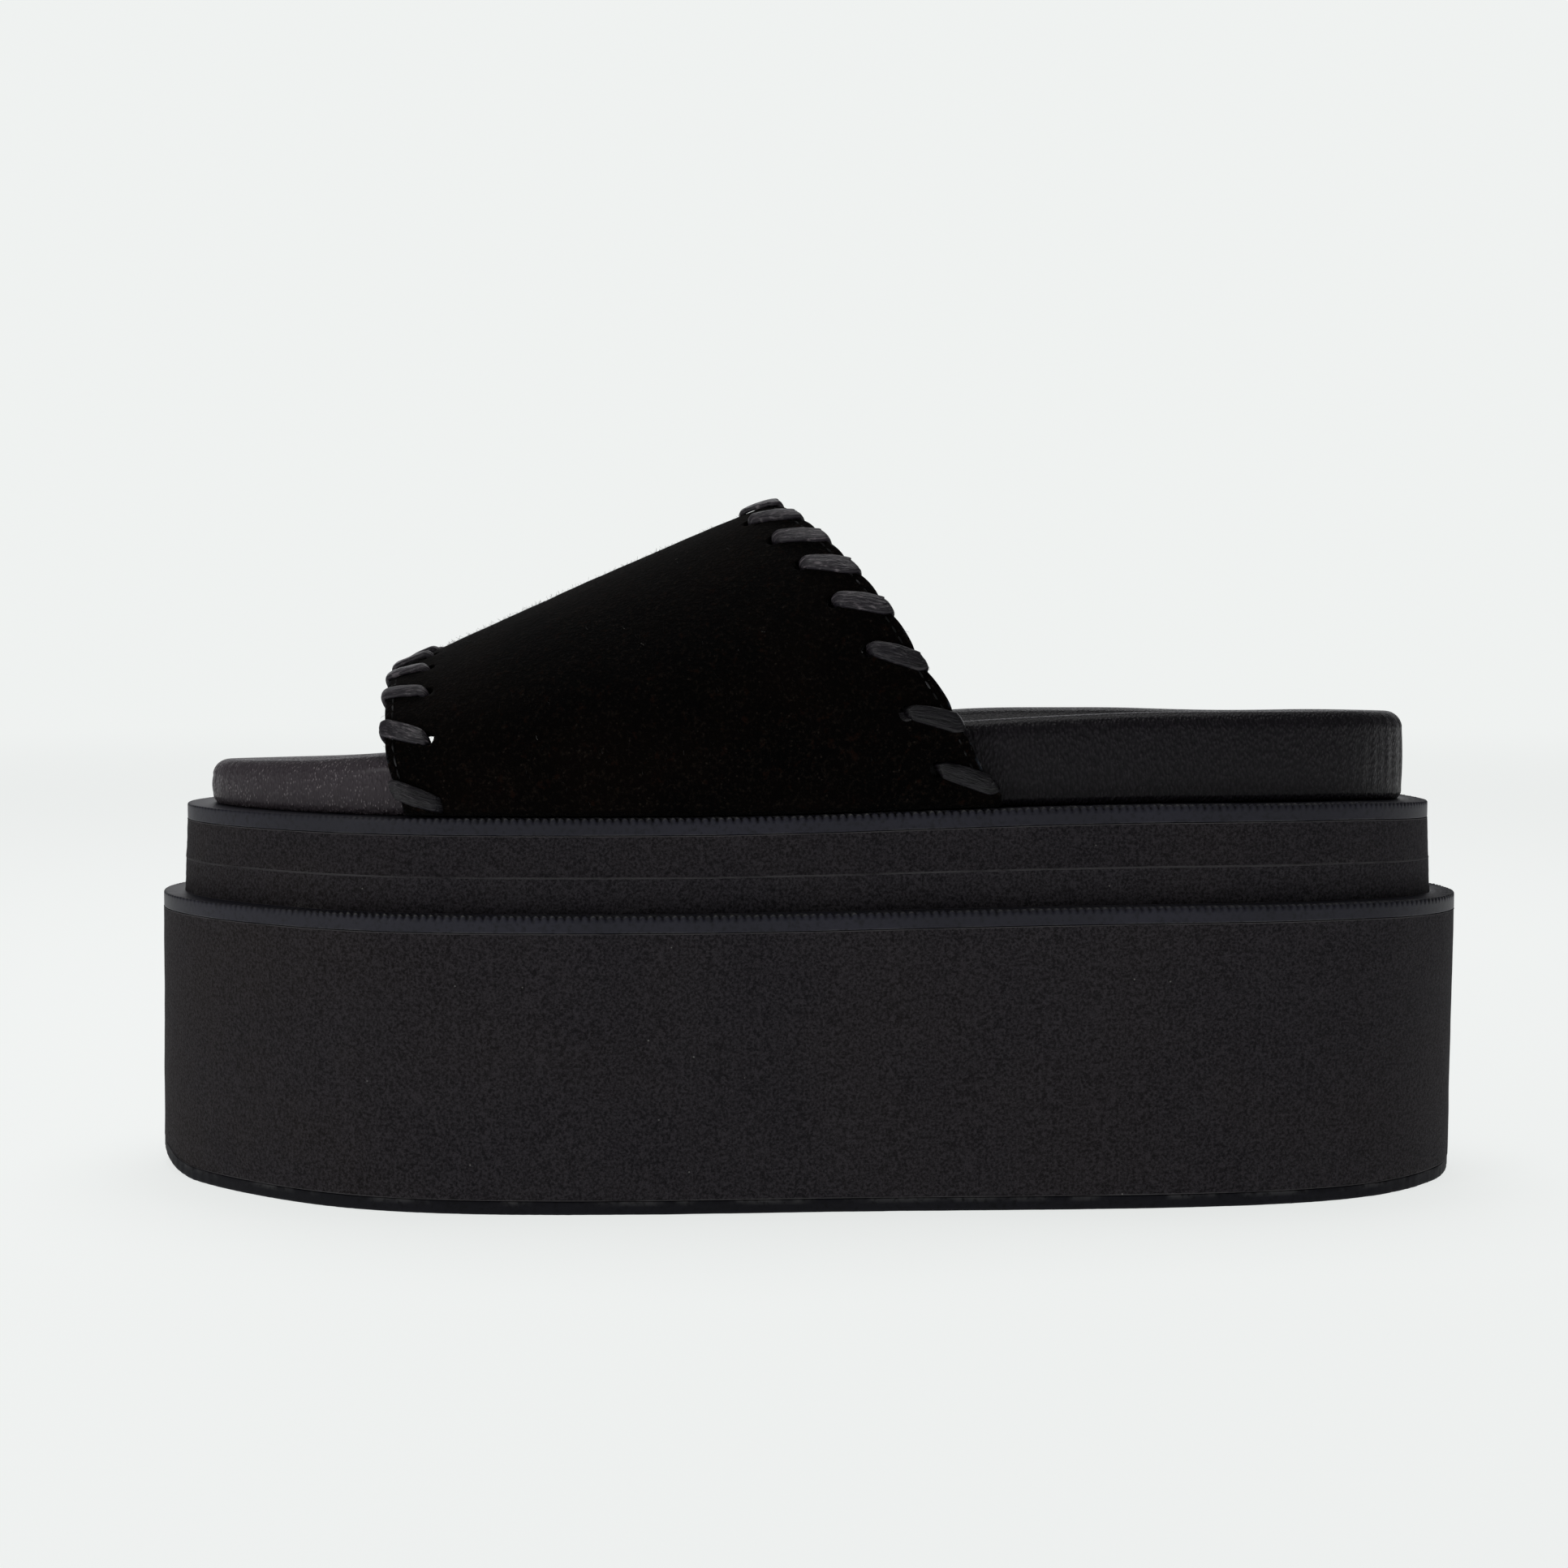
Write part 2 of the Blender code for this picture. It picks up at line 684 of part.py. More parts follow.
def lace_path(rear):
    """Points of the lace's middle line with their way across, width and thickness."""
    edges, holes, length = stitch_rows(rear)
    inset = REAR_HOLE_INSET if rear else FRONT_HOLE_INSET
    turns = list(zip(holes, edges))
    if rear:
        turns.reverse()
    after = [hole for hole, edge in turns[1:]] + [None]
    path = []
    if rear:
        share_in, extra, off, _, _, neck = TURN[-1]
        path.append((turns[0][0], share_in * inset + extra * LACE_OFFSET, off, neck))
    for (hole, edge), following in zip(turns, after):
        for share_in, extra, off, outer, inner, neck in TURN:
            if following is None and inner > LAST_TURN_SHARE:
                break
            if hole == FRONT_START and outer < LAST_TURN_SHARE:
                continue
            place = mix(edge, following or edge, inner) if inner else mix(hole, edge, outer)
            path.append((place, share_in * inset + extra * LACE_OFFSET, off, neck))
    return path, length, 1.0 if rear else 0.0


def make_lace(name, rear, collection):
    path, length, t_edge = lace_path(rear)
    points = []
    ways = []
    sizes = []
    for place, depth, off, neck in path:
        s, t = SURFACE.inset(place / length, t_edge, depth)
        point, _, _, normal = SURFACE.frame(s, t)
        across = SURFACE.frame(place / length, t_edge)[1]
        points.append(point + normal * off * LACE_OFFSET)
        ways.append(across / np.linalg.norm(across))
        sizes.append((mix(LACE_WIDTH, LACE_NECK_WIDTH, neck),
                      mix(LACE_THICK, LACE_NECK_THICK, neck)))
    bm = bmesh.new()
    rings = []
    for k, point in enumerate(points):
        run = points[min(k + 1, len(points) - 1)] - points[max(k - 1, 0)]
        run /= np.linalg.norm(run)
        wide = ways[k] - np.dot(ways[k], run) * run
        wide /= np.linalg.norm(wide)
        thick = np.cross(run, wide)
        width, depth = sizes[k]
        ring = []
        for a, b in ((-0.5, -0.5), (0.5, -0.5), (0.5, 0.5), (-0.5, 0.5)):
            ring.append(bm.verts.new(point + wide * a * width + thick * b * depth))
        rings.append(ring)
    loft_rings(bm, rings)
    bm.faces.new(rings[0])
    bm.faces.new(rings[-1])
    return new_object(name, bm, "lace_leather", collection)


def make_materials():
    for name, (colour, roughness, metallic) in MATERIALS.items():
        material = bpy.data.materials.new(name)
        material.use_nodes = True
        shader = material.node_tree.nodes["Principled BSDF"]
        shader.inputs["Base Color"].default_value = (*colour, 1.0)
        shader.inputs["Roughness"].default_value = roughness
        shader.inputs["Metallic"].default_value = metallic


def main():
    for obj in list(bpy.data.objects):
        bpy.data.objects.remove(obj, do_unlink=True)
    parts = bpy.data.collections.new(NAME)
    cutters = bpy.data.collections.new(NAME + "_cutters")
    bpy.context.scene.collection.children.link(parts)
    bpy.context.scene.collection.children.link(cutters)
    make_materials()
    make_platform(parts)
    make_footbed(parts, cutters)
    make_strap(parts, cutters)
    make_lace("front_lace", False, parts)
    make_lace("rear_lace", True, parts)


main()
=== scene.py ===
"""Looks of the left platform slide sandal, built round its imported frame.

X runs from the toe (negative) to the heel, Y from the lateral side (negative) to the
medial side, Z up, in metres. The origin is under the middle of the platform.
"""

import math

import bmesh
import bpy
import numpy as np
from mathutils import Matrix, Vector


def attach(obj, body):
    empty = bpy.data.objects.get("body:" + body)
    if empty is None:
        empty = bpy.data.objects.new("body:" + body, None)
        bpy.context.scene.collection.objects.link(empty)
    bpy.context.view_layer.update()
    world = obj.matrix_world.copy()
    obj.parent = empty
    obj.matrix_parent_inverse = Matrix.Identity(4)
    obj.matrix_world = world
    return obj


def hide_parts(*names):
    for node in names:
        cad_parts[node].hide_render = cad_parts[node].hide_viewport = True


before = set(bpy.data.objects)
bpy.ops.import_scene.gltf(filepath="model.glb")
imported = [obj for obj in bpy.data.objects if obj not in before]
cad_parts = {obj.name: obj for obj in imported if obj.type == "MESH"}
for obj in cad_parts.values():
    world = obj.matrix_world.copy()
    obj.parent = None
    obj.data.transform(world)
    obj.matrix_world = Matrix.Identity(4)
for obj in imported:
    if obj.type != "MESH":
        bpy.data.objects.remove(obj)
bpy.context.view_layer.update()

# Sizes shared with the frame
PLATFORM_LENGTH = 0.2770
PLATFORM_WIDTH = 0.1130
TIER_LEDGE = 0.0055
FOOTBED_LEDGE = 0.0055
OUTSOLE_THICK = 0.0027
BLOCK_THICK = 0.0528
COVER_THICK = 0.0034
RISER_LOWER_THICK = 0.0070
RISER_UPPER_THICK = 0.0083
WELT_THICK = 0.0034
COVER_RISE = 0.0013
WELT_RISE = 0.0023
BLOCK_LEAN = 0.0006
RISER_FLARE = 0.0007
TOE_ROLL_RADIUS = 0.0190
TOE_ROLL_RUN = 0.0118
HEEL_ROLL_RADIUS = 0.0200
HEEL_ROLL_RUN = 0.0060
FOOTBED_TOE_HEIGHT = 0.0093
FOOTBED_HEEL_HEIGHT = 0.0184
FOOTBED_MEDIAL_DROP = 0.0026
FOOTBED_EDGE_RADIUS = 0.0034
FOOTBED_TUCK = 0.0008
FOOTBED_TUCK_HEIGHT = 0.0016
CUP_DEPTH_TOE = 0.0024
CUP_DEPTH_HEEL = 0.0072
CUP_SLOPE = 0.0190
LAYER_GAP = 0.0003
STRAP_WALL = 0.0024
STRAP_STANDOFF = 0.0021
STRAP_FRONT_X = -0.0800
STRAP_REAR_X = 0.0394
STRAP_FRONT_HEIGHT = 0.0280
STRAP_REAR_HEIGHT = 0.0617
STRAP_RIDGE_BULGE = 0.0006
STRAP_FRONT_LEAN = -0.0062
STRAP_REAR_LEAN = -0.0449
STRAP_SIDE_FRONT = 0.0062
STRAP_SIDE_REAR = 0.0112
STRAP_CREST_SHIFT = 0.0020
STRAP_BEND_RADIUS = 0.0014
STRAP_TAB = 0.0120
ARCH_POWER_FRONT = 2.10
ARCH_POWER_REAR = 2.00

# Plan of the lower tier: along as a share of the length, across as a share of the width
PLAN = (
    (-0.5000, 0.0270), (-0.4930, -0.0840), (-0.4700, -0.1870), (-0.4350, -0.2790),
    (-0.3900, -0.3640), (-0.3340, -0.4400), (-0.2660, -0.4850), (-0.1800, -0.5000),
    (-0.0800, -0.4930), (0.0350, -0.4740), (0.1600, -0.4610), (0.2700, -0.4430),
    (0.3550, -0.4090), (0.4220, -0.3440), (0.4680, -0.2440), (0.4930, -0.1420),
    (0.5000, -0.0400), (0.4920, 0.0720), (0.4660, 0.1870), (0.4190, 0.2800),
    (0.3500, 0.3370), (0.2500, 0.3650), (0.1200, 0.3950), (-0.0100, 0.4430),
    (-0.1300, 0.4900), (-0.2250, 0.5000), (-0.3150, 0.4700), (-0.3900, 0.4020),
    (-0.4490, 0.2880), (-0.4860, 0.1600),
)


class Table:
    """Smooth curve through a two-column table that does not overshoot its rows."""

    def __init__(self, *rows):
        slopes = [(b[1] - a[1]) / (b[0] - a[0]) for a, b in zip(rows, rows[1:])]
        tangents = [2.0 * before * after / (before + after) if before * after > 0.0 else 0.0
                    for before, after in zip(slopes, slopes[1:])]
        tangents = [slopes[0], *tangents, slopes[-1]]
        u = np.linspace(0.0, 1.0, 30)[:-1]
        self.shares = []
        self.values = []
        for row, ((left, low), (right, high)) in enumerate(zip(rows, rows[1:])):
            width = right - left
            start = tangents[row] * width
            end = tangents[row + 1] * width
            self.shares.extend(left + u * width)
            self.values.extend(low + start * u
                               + (3.0 * (high - low) - 2.0 * start - end) * u * u
                               + (start + end - 2.0 * (high - low)) * u ** 3)
        self.shares.append(rows[-1][0])
        self.values.append(rows[-1][1])

    def __call__(self, share):
        return np.interp(share, self.shares, self.values)


# Rise of the layers: along from the toe as a share of the length, share of the rise
RISE = Table((0.00, 0.00), (0.41, 0.00), (0.50, 0.16), (0.59, 0.50), (0.68, 0.84),
             (0.77, 1.00), (0.89, 0.96), (1.00, 0.20))
# Footbed rim: along as a share of its length, share from toe height to heel height
RIM = Table((0.00, 0.00), (0.05, 0.07), (0.10, 0.14), (0.18, 0.32), (0.35, 0.56),
            (0.50, 0.76), (0.65, 0.92), (0.80, 1.00), (1.00, 1.00))
# Drop of the medial rim: along as a share of the footbed's length, share of the drop
MEDIAL_RIM = Table((0.00, 0.80), (0.15, 1.00), (0.30, 0.75), (0.50, 0.20), (0.64, 0.10),
                   (0.75, 0.55), (0.88, 1.00), (1.00, 0.80))
# Slope inside the cup: share of its run in from the rim, share of its depth
CUP = Table((0.00, 0.00), (0.20, 0.10), (0.45, 0.50), (0.72, 0.88), (1.00, 1.00))
# Lean of the strap's edges: share of the crest's height, share of the lean
FRONT_EDGE = Table((0.0, 0.0), (0.15, 0.26), (0.40, 0.53), (0.70, 0.72), (1.0, 1.0))
REAR_EDGE = Table((0.00, 0.00), (0.10, 0.10), (0.20, 0.16), (0.30, 0.23), (0.40, 0.315),
                  (0.50, 0.395), (0.60, 0.475), (0.70, 0.575), (0.80, 0.69),
                  (0.90, 0.82), (1.00, 1.00))

FOOTBED_GROW = -TIER_LEDGE - FOOTBED_LEDGE
STRAP_GROW = FOOTBED_GROW + STRAP_STANDOFF + 0.5 * STRAP_WALL
BLOCK_TOP = OUTSOLE_THICK + BLOCK_THICK
COVER_TOP = BLOCK_TOP + COVER_THICK
RISER_MID = COVER_TOP + RISER_LOWER_THICK
RISER_TOP = RISER_MID + RISER_UPPER_THICK
WELT_TOP = RISER_TOP + WELT_THICK
FOOTBED_LENGTH = PLATFORM_LENGTH + 2.0 * FOOTBED_GROW

# Knurl on the rubber layers' ledges
KNURL_PITCH = 0.00160
KNURL_DEPTH = 0.00060
KNURL_LIFT = 0.45
KNURL_SLANT = 0.55
KNURL_SAMPLES = 6
# Share of the knurl's depth: along the platform from the toe
KNURL_COVER = Table((0.0, 0.2), (0.10, 0.4), (0.2, 1.4), (0.42, 1.3), (0.55, 1.0), (1.0, 0.7))
KNURL_WELT = Table((0.0, 0.15), (0.20, 0.4), (0.28, 1.2), (0.45, 1.4), (0.7, 1.2), (1.0, 0.5))

# Lace, as seen: its size, its neck at a hole, its creases, how close it lies, its holes
LACE_WIDTH = 0.0038
LACE_THICK = 0.0009
LACE_CROWN = 0.00026
LACE_NECK = 0.62
LACE_NECK_THICK = 1.25
CREASE_SIZE = 0.0006
CREASE_STRETCH = 0.13
CREASE_DEPTH = 0.00005
CREASE_NECK_DEPTH = 0.00007
LACE_CLEARANCE = 0.00004
LACE_OFFSET = 0.5 * STRAP_WALL + LACE_CLEARANCE + 0.5 * LACE_THICK
HOLE_RADIUS = 0.0016
HOLE_SIDES = 24
HOLE_SHIFT = 0.0005
REAR_HOLE_INSET = 0.0078
REAR_SLANT = 0.0070
FRONT_HOLE_INSET = 0.0085
FRONT_SLANT = 0.0047
FRONT_START = (-0.0015, 0.0650)
FRONT_TUCK = ((-0.05, -0.10), (0.0, 0.45), (0.07, 0.88))
REAR_STITCHES = (0.016, 0.090, 0.164, 0.236, 0.298, 0.357, 0.415, 0.472,
                 0.528, 0.586, 0.645, 0.708, 0.776, 0.846, 0.912)
FRONT_STITCHES = (0.025, 0.127, 0.227, 0.326, 0.426, 0.526, 0.626, 0.726, 0.826, 0.926)

# One turn of the lace: way from a hole (0) over the edge (1) to the next hole (2), depth
# further in, in lace offsets, offset from the strap's middle in lace offsets, neck
TURN = (
    (0.00, 0.00, -0.40, 1.0),
    (0.00, 0.00, 0.40, 1.0),
    (0.04, 0.00, 0.84, 0.7),
    (0.14, 0.00, 1.04, 0.3),
    (0.50, 0.00, 1.12, 0.0),
    (0.85, 0.00, 1.06, 0.0),
    (0.97, 0.00, 0.98, 0.0),
    (1.00, -0.20, 0.82, 0.0),
    (1.00, -0.34, 0.42, 0.0),
    (1.00, -0.34, -0.42, 0.0),
    (1.00, -0.20, -0.82, 0.0),
    (1.03, 0.00, -0.97, 0.0),
    (1.15, 0.00, -1.01, 0.0),
    (1.50, 0.00, -1.03, 0.0),
    (1.86, 0.00, -1.05, 0.2),
    (1.97, 0.00, -0.90, 0.7),
)
TURN_STEPS = 5

# Camera at the photograph's angle: place, tilt below level, focal length in pixels
PHOTO_SIZE = 1932.0
CAMERA_PLACE = (-0.0042, -0.5565, 0.1174)
CAMERA_TILT = 3.71
FOCAL_PIXELS = 3177.0
SENSOR = 36.0

# Studio: the backdrop's colour, and the light that comes from in front and from behind,
# with the part of the sky, as a share towards the back, where one turns into the other
BACKDROP = (0.865, 0.885, 0.875)
LIGHT_FRONT = 0.10
LIGHT_BACK = 1.15
LIGHT_TURN = (0.74, 0.98)
FLOOR_GLOW = 0.75
FLOOR_NEAR = 0.6
FLOOR_FAR = 2.4
FLOOR_COLOUR = (0.34, 0.345, 0.343)
FLOOR_RADIUS = 20.0
FLOOR_SIDES = 96
# Softboxes: name, place, aim, size, power
SOFTBOXES = (
    ("key", (-0.85, -0.72, 0.38), (-0.02, 0.0, 0.06), (0.26, 0.26), 1.6),
    ("top", (0.00, 0.32, 1.15), (0.0, 0.20, 0.0), (0.8, 0.7), 4.2),
)


def mix(a, b, share):
    return a + (b - a) * share


def unit(ways):
    return ways / np.linalg.norm(ways, axis=-1, keepdims=True)


def arc_lengths(points):
    steps = np.linalg.norm(np.diff(points, axis=0), axis=1)
    return np.concatenate(([0.0], np.cumsum(steps)))


def waves(points, size, seed, count=9):
    """Smooth unevenness, mostly from -1 to 1, with features of about one size."""
    rng = np.random.default_rng(seed)
    points = np.asarray(points, float)
    total = 0.0
    for _ in range(count):
        way = rng.normal(size=points.shape[-1])
        way *= rng.uniform(0.7, 1.5) * 2.0 * math.pi / (size * np.linalg.norm(way))
        total = total + np.sin(points @ way + rng.uniform(0.0, 2.0 * math.pi))
    return total / math.sqrt(count)


class Plan:
    """Closed smooth curve through the plan's points, and curves parallel to it."""

    def __init__(self, steps_per_row=24):
        points = np.array(PLAN) * (PLATFORM_LENGTH, PLATFORM_WIDTH)
        after = np.roll(points, -1, axis=0)
        steps = np.linalg.norm(after - points, axis=1)
        count = len(points)
        system = np.zeros((count, count))
        for i in range(count):
            system[i, i - 1] = steps[i - 1]
            system[i, i] = 2.0 * (steps[i - 1] + steps[i])
            system[i, (i + 1) % count] = steps[i]
        slopes = (after - points) / steps[:, None]
        bends = np.linalg.solve(system, 6.0 * (slopes - np.roll(slopes, 1, axis=0)))
        dense = []
        runs = []
        for i, h in enumerate(steps):
            bend = bends[i]
            next_bend = bends[(i + 1) % count]
            low = points[i] / h - bend * h / 6.0
            high = after[i] / h - next_bend * h / 6.0
            for k in range(steps_per_row):
                u = h * k / steps_per_row
                v = h - u
                dense.append(bend * v ** 3 / (6.0 * h) + next_bend * u ** 3 / (6.0 * h)
                             + low * v + high * u)
                runs.append(-bend * v ** 2 / (2.0 * h) + next_bend * u ** 2 / (2.0 * h)
                            - low + high)
        self.points = np.array(dense)
        self.normals = unit(np.array(runs)[:, ::-1] * (1.0, -1.0))
        if np.dot(self.normals[0], self.points[0]) < 0.0:
            self.normals = -self.normals
        self.closed = np.vstack((self.points, self.points[:1]))
        self.outward = np.vstack((self.normals, self.normals[:1]))
        self.arc = arc_lengths(self.closed)
        self.length = self.arc[-1]

    def read(self, arc):
        """Points and normals at lengths along the curve."""
        place, normal = (np.column_stack([np.interp(arc, self.arc, rows[:, i]) for i in (0, 1)])
                         for rows in (self.closed, self.outward))
        return place, unit(normal)

    def even(self, count):
        return np.arange(count) * self.length / count

    def by_length(self, steps):
        """Lengths along the curve whose points pair up across it, closest at the tips."""
        x = self.points[:, 0]
        toe = int(np.argmin(x))
        heel = int(np.argmax(x))
        arc = np.concatenate((self.arc[:-1], self.arc[:-1] + self.length, [2 * self.length]))
        along = np.concatenate((x, x, x[:1]))
        places = []
        for first, last, back in ((toe, heel, False), (heel, toe + len(x), True)):
            run = along[first:last + 1]
            order = np.argsort(run)
            for k in range(steps):
                share = 0.5 * (1.0 - math.cos(math.pi * k / steps))
                want = mix(run.min(), run.max(), 1.0 - share if back else share)
                places.append(np.interp(want, run[order], arc[first:last + 1][order]))
        return np.mod(np.array(places), self.length)

    def side(self, grow, x, medial):
        """Y of the parallel curve at X, on the lateral or the medial side."""
        curve = self.points + self.normals * grow
        toe = int(np.argmin(curve[:, 0]))
        heel = int(np.argmax(curve[:, 0]))
        first, last = (heel, toe) if medial else (toe, heel)
        index = (first + np.arange((last - first) % len(curve) + 1)) % len(curve)
        part = curve[index]
        part = part[np.argsort(part[:, 0])]
        return np.interp(x, part[:, 0], part[:, 1])


PLAN_CURVE = Plan()


def rise(x, height):
    share = RISE(x / PLATFORM_LENGTH + 0.5)
    up = max(0.0, (height - COVER_TOP) / (WELT_TOP - COVER_TOP))
    return share * mix(COVER_RISE, WELT_RISE, up) + height


def roll(x):
    """How far the ground side is rolled up at the two tips."""
    toe = np.maximum(-0.5 * PLATFORM_LENGTH + TOE_ROLL_RUN - x, 0.0)
    heel = np.maximum(x - 0.5 * PLATFORM_LENGTH + HEEL_ROLL_RUN, 0.0)
    return (TOE_ROLL_RADIUS - np.sqrt(TOE_ROLL_RADIUS ** 2 - toe ** 2)
            + HEEL_ROLL_RADIUS - np.sqrt(HEEL_ROLL_RADIUS ** 2 - heel ** 2))


def welt_top(x):
    return rise(x, WELT_TOP)


def rim_height(x, y):
    along = x / FOOTBED_LENGTH + 0.5
    across = np.clip(2.0 * y / PLATFORM_WIDTH + 0.2, 0.0, 1.0)
    drop = FOOTBED_MEDIAL_DROP * MEDIAL_RIM(along) * across * across * (3.0 - 2.0 * across)
    return welt_top(x) + mix(FOOTBED_TOE_HEIGHT, FOOTBED_HEEL_HEIGHT, RIM(along)) - drop


def cup_depth(x):
    return mix(CUP_DEPTH_TOE, CUP_DEPTH_HEEL, RIM(x / FOOTBED_LENGTH + 0.5))


# Meshes


def zip_faces(xs, ring, up):
    """Triangles that close a ring with strips that run from side to side."""
    count = len(ring)
    toe = int(np.argmin(xs))
    forward = (int(np.argmax(xs)) - toe) % count
    one = [(toe + k) % count for k in range(forward + 1)]
    other = [(toe - k) % count for k in range(count - forward + 1)]
    faces = []
    i = j = 0
    while i < len(one) - 1 or j < len(other) - 1:
        if j == len(other) - 1 or (i < len(one) - 1 and xs[one[i + 1]] <= xs[other[j + 1]]):
            face = (one[i], one[i + 1], other[j])
            i += 1
        else:
            face = (one[i], other[j + 1], other[j])
            j += 1
        if len(set(face)) == 3:
            face = tuple(ring[k] for k in face)
            faces.append(face if up else face[::-1])
    return faces


def wall_faces(rings, sides):
    """Faces between rings of points, each ring joined to the next."""
    faces = []
    for low in range(0, (rings - 1) * sides, sides):
        for k in range(sides):
            j = (k + 1) % sides
            faces.append((low + k, low + j, low + sides + j, low + sides + k))
    return faces


def new_object(name, data):
    obj = bpy.data.objects.new(name, data)
    bpy.context.scene.collection.objects.link(obj)
    return obj


def mesh_object(name, points, faces, marks):
    mesh = bpy.data.meshes.new(name)
    mesh.from_pydata([tuple(p) for p in points], [], faces)
    for mark, values in marks.items():
        attribute = mesh.attributes.new(mark, "FLOAT", "POINT")
        attribute.data.foreach_set("value", np.asarray(values, np.float32).ravel())
    bm = bmesh.new()
    bm.from_mesh(mesh)
    bmesh.ops.recalc_face_normals(bm, faces=bm.faces)
    bm.to_mesh(mesh)
    bm.free()
    return new_object(name, mesh)


def finish_piece(obj, material, nodes):
    obj.data.materials.append(material)
    obj.data.shade_smooth()
    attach(obj, "root")
    if nodes:
        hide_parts(*nodes)


class Rings:
    """Rings of points round the plan, one after another, and the marks painted on them."""

    def __init__(self, arc, *marks):
        self.place, self.normal = PLAN_CURVE.read(arc)
        self.rows = []
        self.marks = {mark: [] for mark in marks}

    def add_row(self, row, **marks):
        self.rows.append(row)
        for mark, values in self.marks.items():
            values.append(np.zeros(len(row)) + marks.get(mark, 0.0))

    def add(self, grow, shift, height, **marks):
        """A ring outside the plan by grow, moved along X, at a height read from X."""
        flat = self.place + self.normal * np.reshape(grow, (-1, 1))
        x = flat[:, 0] + shift
        self.add_row(np.column_stack((x, flat[:, 1], height(x))), **marks)

    def finish(self, name, material, node_name):
        """Close the rings into a body that stands for a node of the frame."""
        rows = np.asarray(self.rows)
        count = rows.shape[1]
        last = (len(rows) - 1) * count
        faces = wall_faces(len(rows), count)
        faces += zip_faces(rows[0, :, 0], range(count), False)
        faces += zip_faces(rows[-1, :, 0], range(last, last + count), True)
        obj = mesh_object(name, rows.reshape(-1, 3), faces, self.marks)
        finish_piece(obj, material, [node_name])


def edge_arc(radius, turns):
    """Inset and drop of a rounded edge from its side to its top."""
    angles = [0.5 * math.pi * k / turns for k in range(turns + 1)]
    return [(radius * (1.0 - math.cos(a)), radius * (1.0 - math.sin(a))) for a in angles]


# Platform layers

# How far a layer is pressed into its neighbour, keeps off the layer below at its edge and
# runs in under the next one, then its cut edges and its knurl
PRESS = 0.0001
RUBBER_GAP = 0.0002
FOAM_GAP = 0.00012
LAYER_INSIDE = 0.006
LEDGE_INSIDE = 0.002
CUT_RADIUS = 0.00018
CUT_TURNS = 2
JOINT_WIDTH = 0.0004
RUBBER_WANDER = 0.00003
KNURL_RADIUS = 0.00035
KNURL_TURNS = 4
KNURL_POWER = 0.9
KNURL_CUT_IN = 0.55
KNURL_INSETS = (0.0010, 0.0018, 0.0028, 0.0040, 0.0050)
RUBBER_FACE_ROWS = (0.06, 0.3, 0.6, 0.83)


def make_rubber_layer(name, base, top, grow, shift, ledge, depths, material):
    """A rubber sheet whose ledge is knurled from its outer edge inwards."""
    teeth = int(round(PLAN_CURVE.length / KNURL_PITCH))
    pitch = PLAN_CURVE.length / teeth
    arc = PLAN_CURVE.even(teeth * KNURL_SAMPLES)
    rings = Rings(arc, "joint", "tip", "dip")
    uneven = np.clip(0.80 + 0.20 * waves(rings.place, 0.0035, 11), 0.5, 1.0)
    depth = KNURL_DEPTH * depths(rings.place[:, 0] / PLATFORM_LENGTH + 0.5) * uneven
    share_deep = depth / KNURL_DEPTH
    wander = RUBBER_WANDER * waves(rings.place, 0.025, 12) - RUBBER_WANDER

    def tooth(inset):
        return np.abs(np.sin(np.pi * (arc + KNURL_SLANT * inset) / pitch)) ** KNURL_POWER

    rings.add(grow - ledge - LEDGE_INSIDE, shift, lambda x: rise(x, base))
    rings.add(grow - JOINT_WIDTH, shift, lambda x: rise(x, base), joint=1.0)
    for inset, drop in edge_arc(CUT_RADIUS, CUT_TURNS)[::-1]:
        rings.add(grow - inset + wander, shift, lambda x: rise(x, base) + drop,
                  joint=1.0 if drop < 0.5 * CUT_RADIUS else 0.6)
    for share in RUBBER_FACE_ROWS:
        rings.add(grow + wander, shift, lambda x: rise(x, base) + share * (top - base))
    # The tip mark paints a highlight on the tops of the teeth, and the mark on the notches paints
    # shade into the notches between them, here and on the ledge rows below.
    for inset, drop in edge_arc(KNURL_RADIUS, KNURL_TURNS):
        knurl = tooth(inset)
        notch = depth * (1.0 - knurl)
        rings.add(grow - inset + wander - KNURL_CUT_IN * notch, shift,
                  lambda x: rise(x, top) - drop - notch + KNURL_LIFT * depth,
                  tip=knurl ** 3 * share_deep * (drop < 0.85 * KNURL_RADIUS),
                  dip=(1.0 - knurl) * share_deep)
    for inset in KNURL_INSETS:
        knurl = tooth(inset)
        inwards = inset / ledge
        raised = depth * (1.0 - inwards ** 2) * (KNURL_LIFT - 1.0 + knurl)
        rings.add(grow - inset, shift, lambda x: rise(x, top) + raised,
                  tip=knurl ** 3 * share_deep * (1.0 - inwards),
                  dip=(1.0 - knurl) * share_deep * (1.0 - inwards) ** 2)
    rings.add(grow - ledge - LEDGE_INSIDE, shift, lambda x: rise(x, top))
    rings.finish(name + "_knurled", material, name)


FOAM_COLUMNS = 900
FOAM_EDGE_RADIUS = 0.00008
FOAM_LINE = 0.00012
FOAM_INSET = 0.00006
BUFF_WIDE = 0.00005
BUFF_FINE = 0.00003
DUST_HEIGHT = 0.0016
# Where dust lies on the foam: distance from a middle, where it begins, run to its full share
DUST_MIDDLE = -0.01
DUST_START = 0.062
DUST_RUN = 0.05


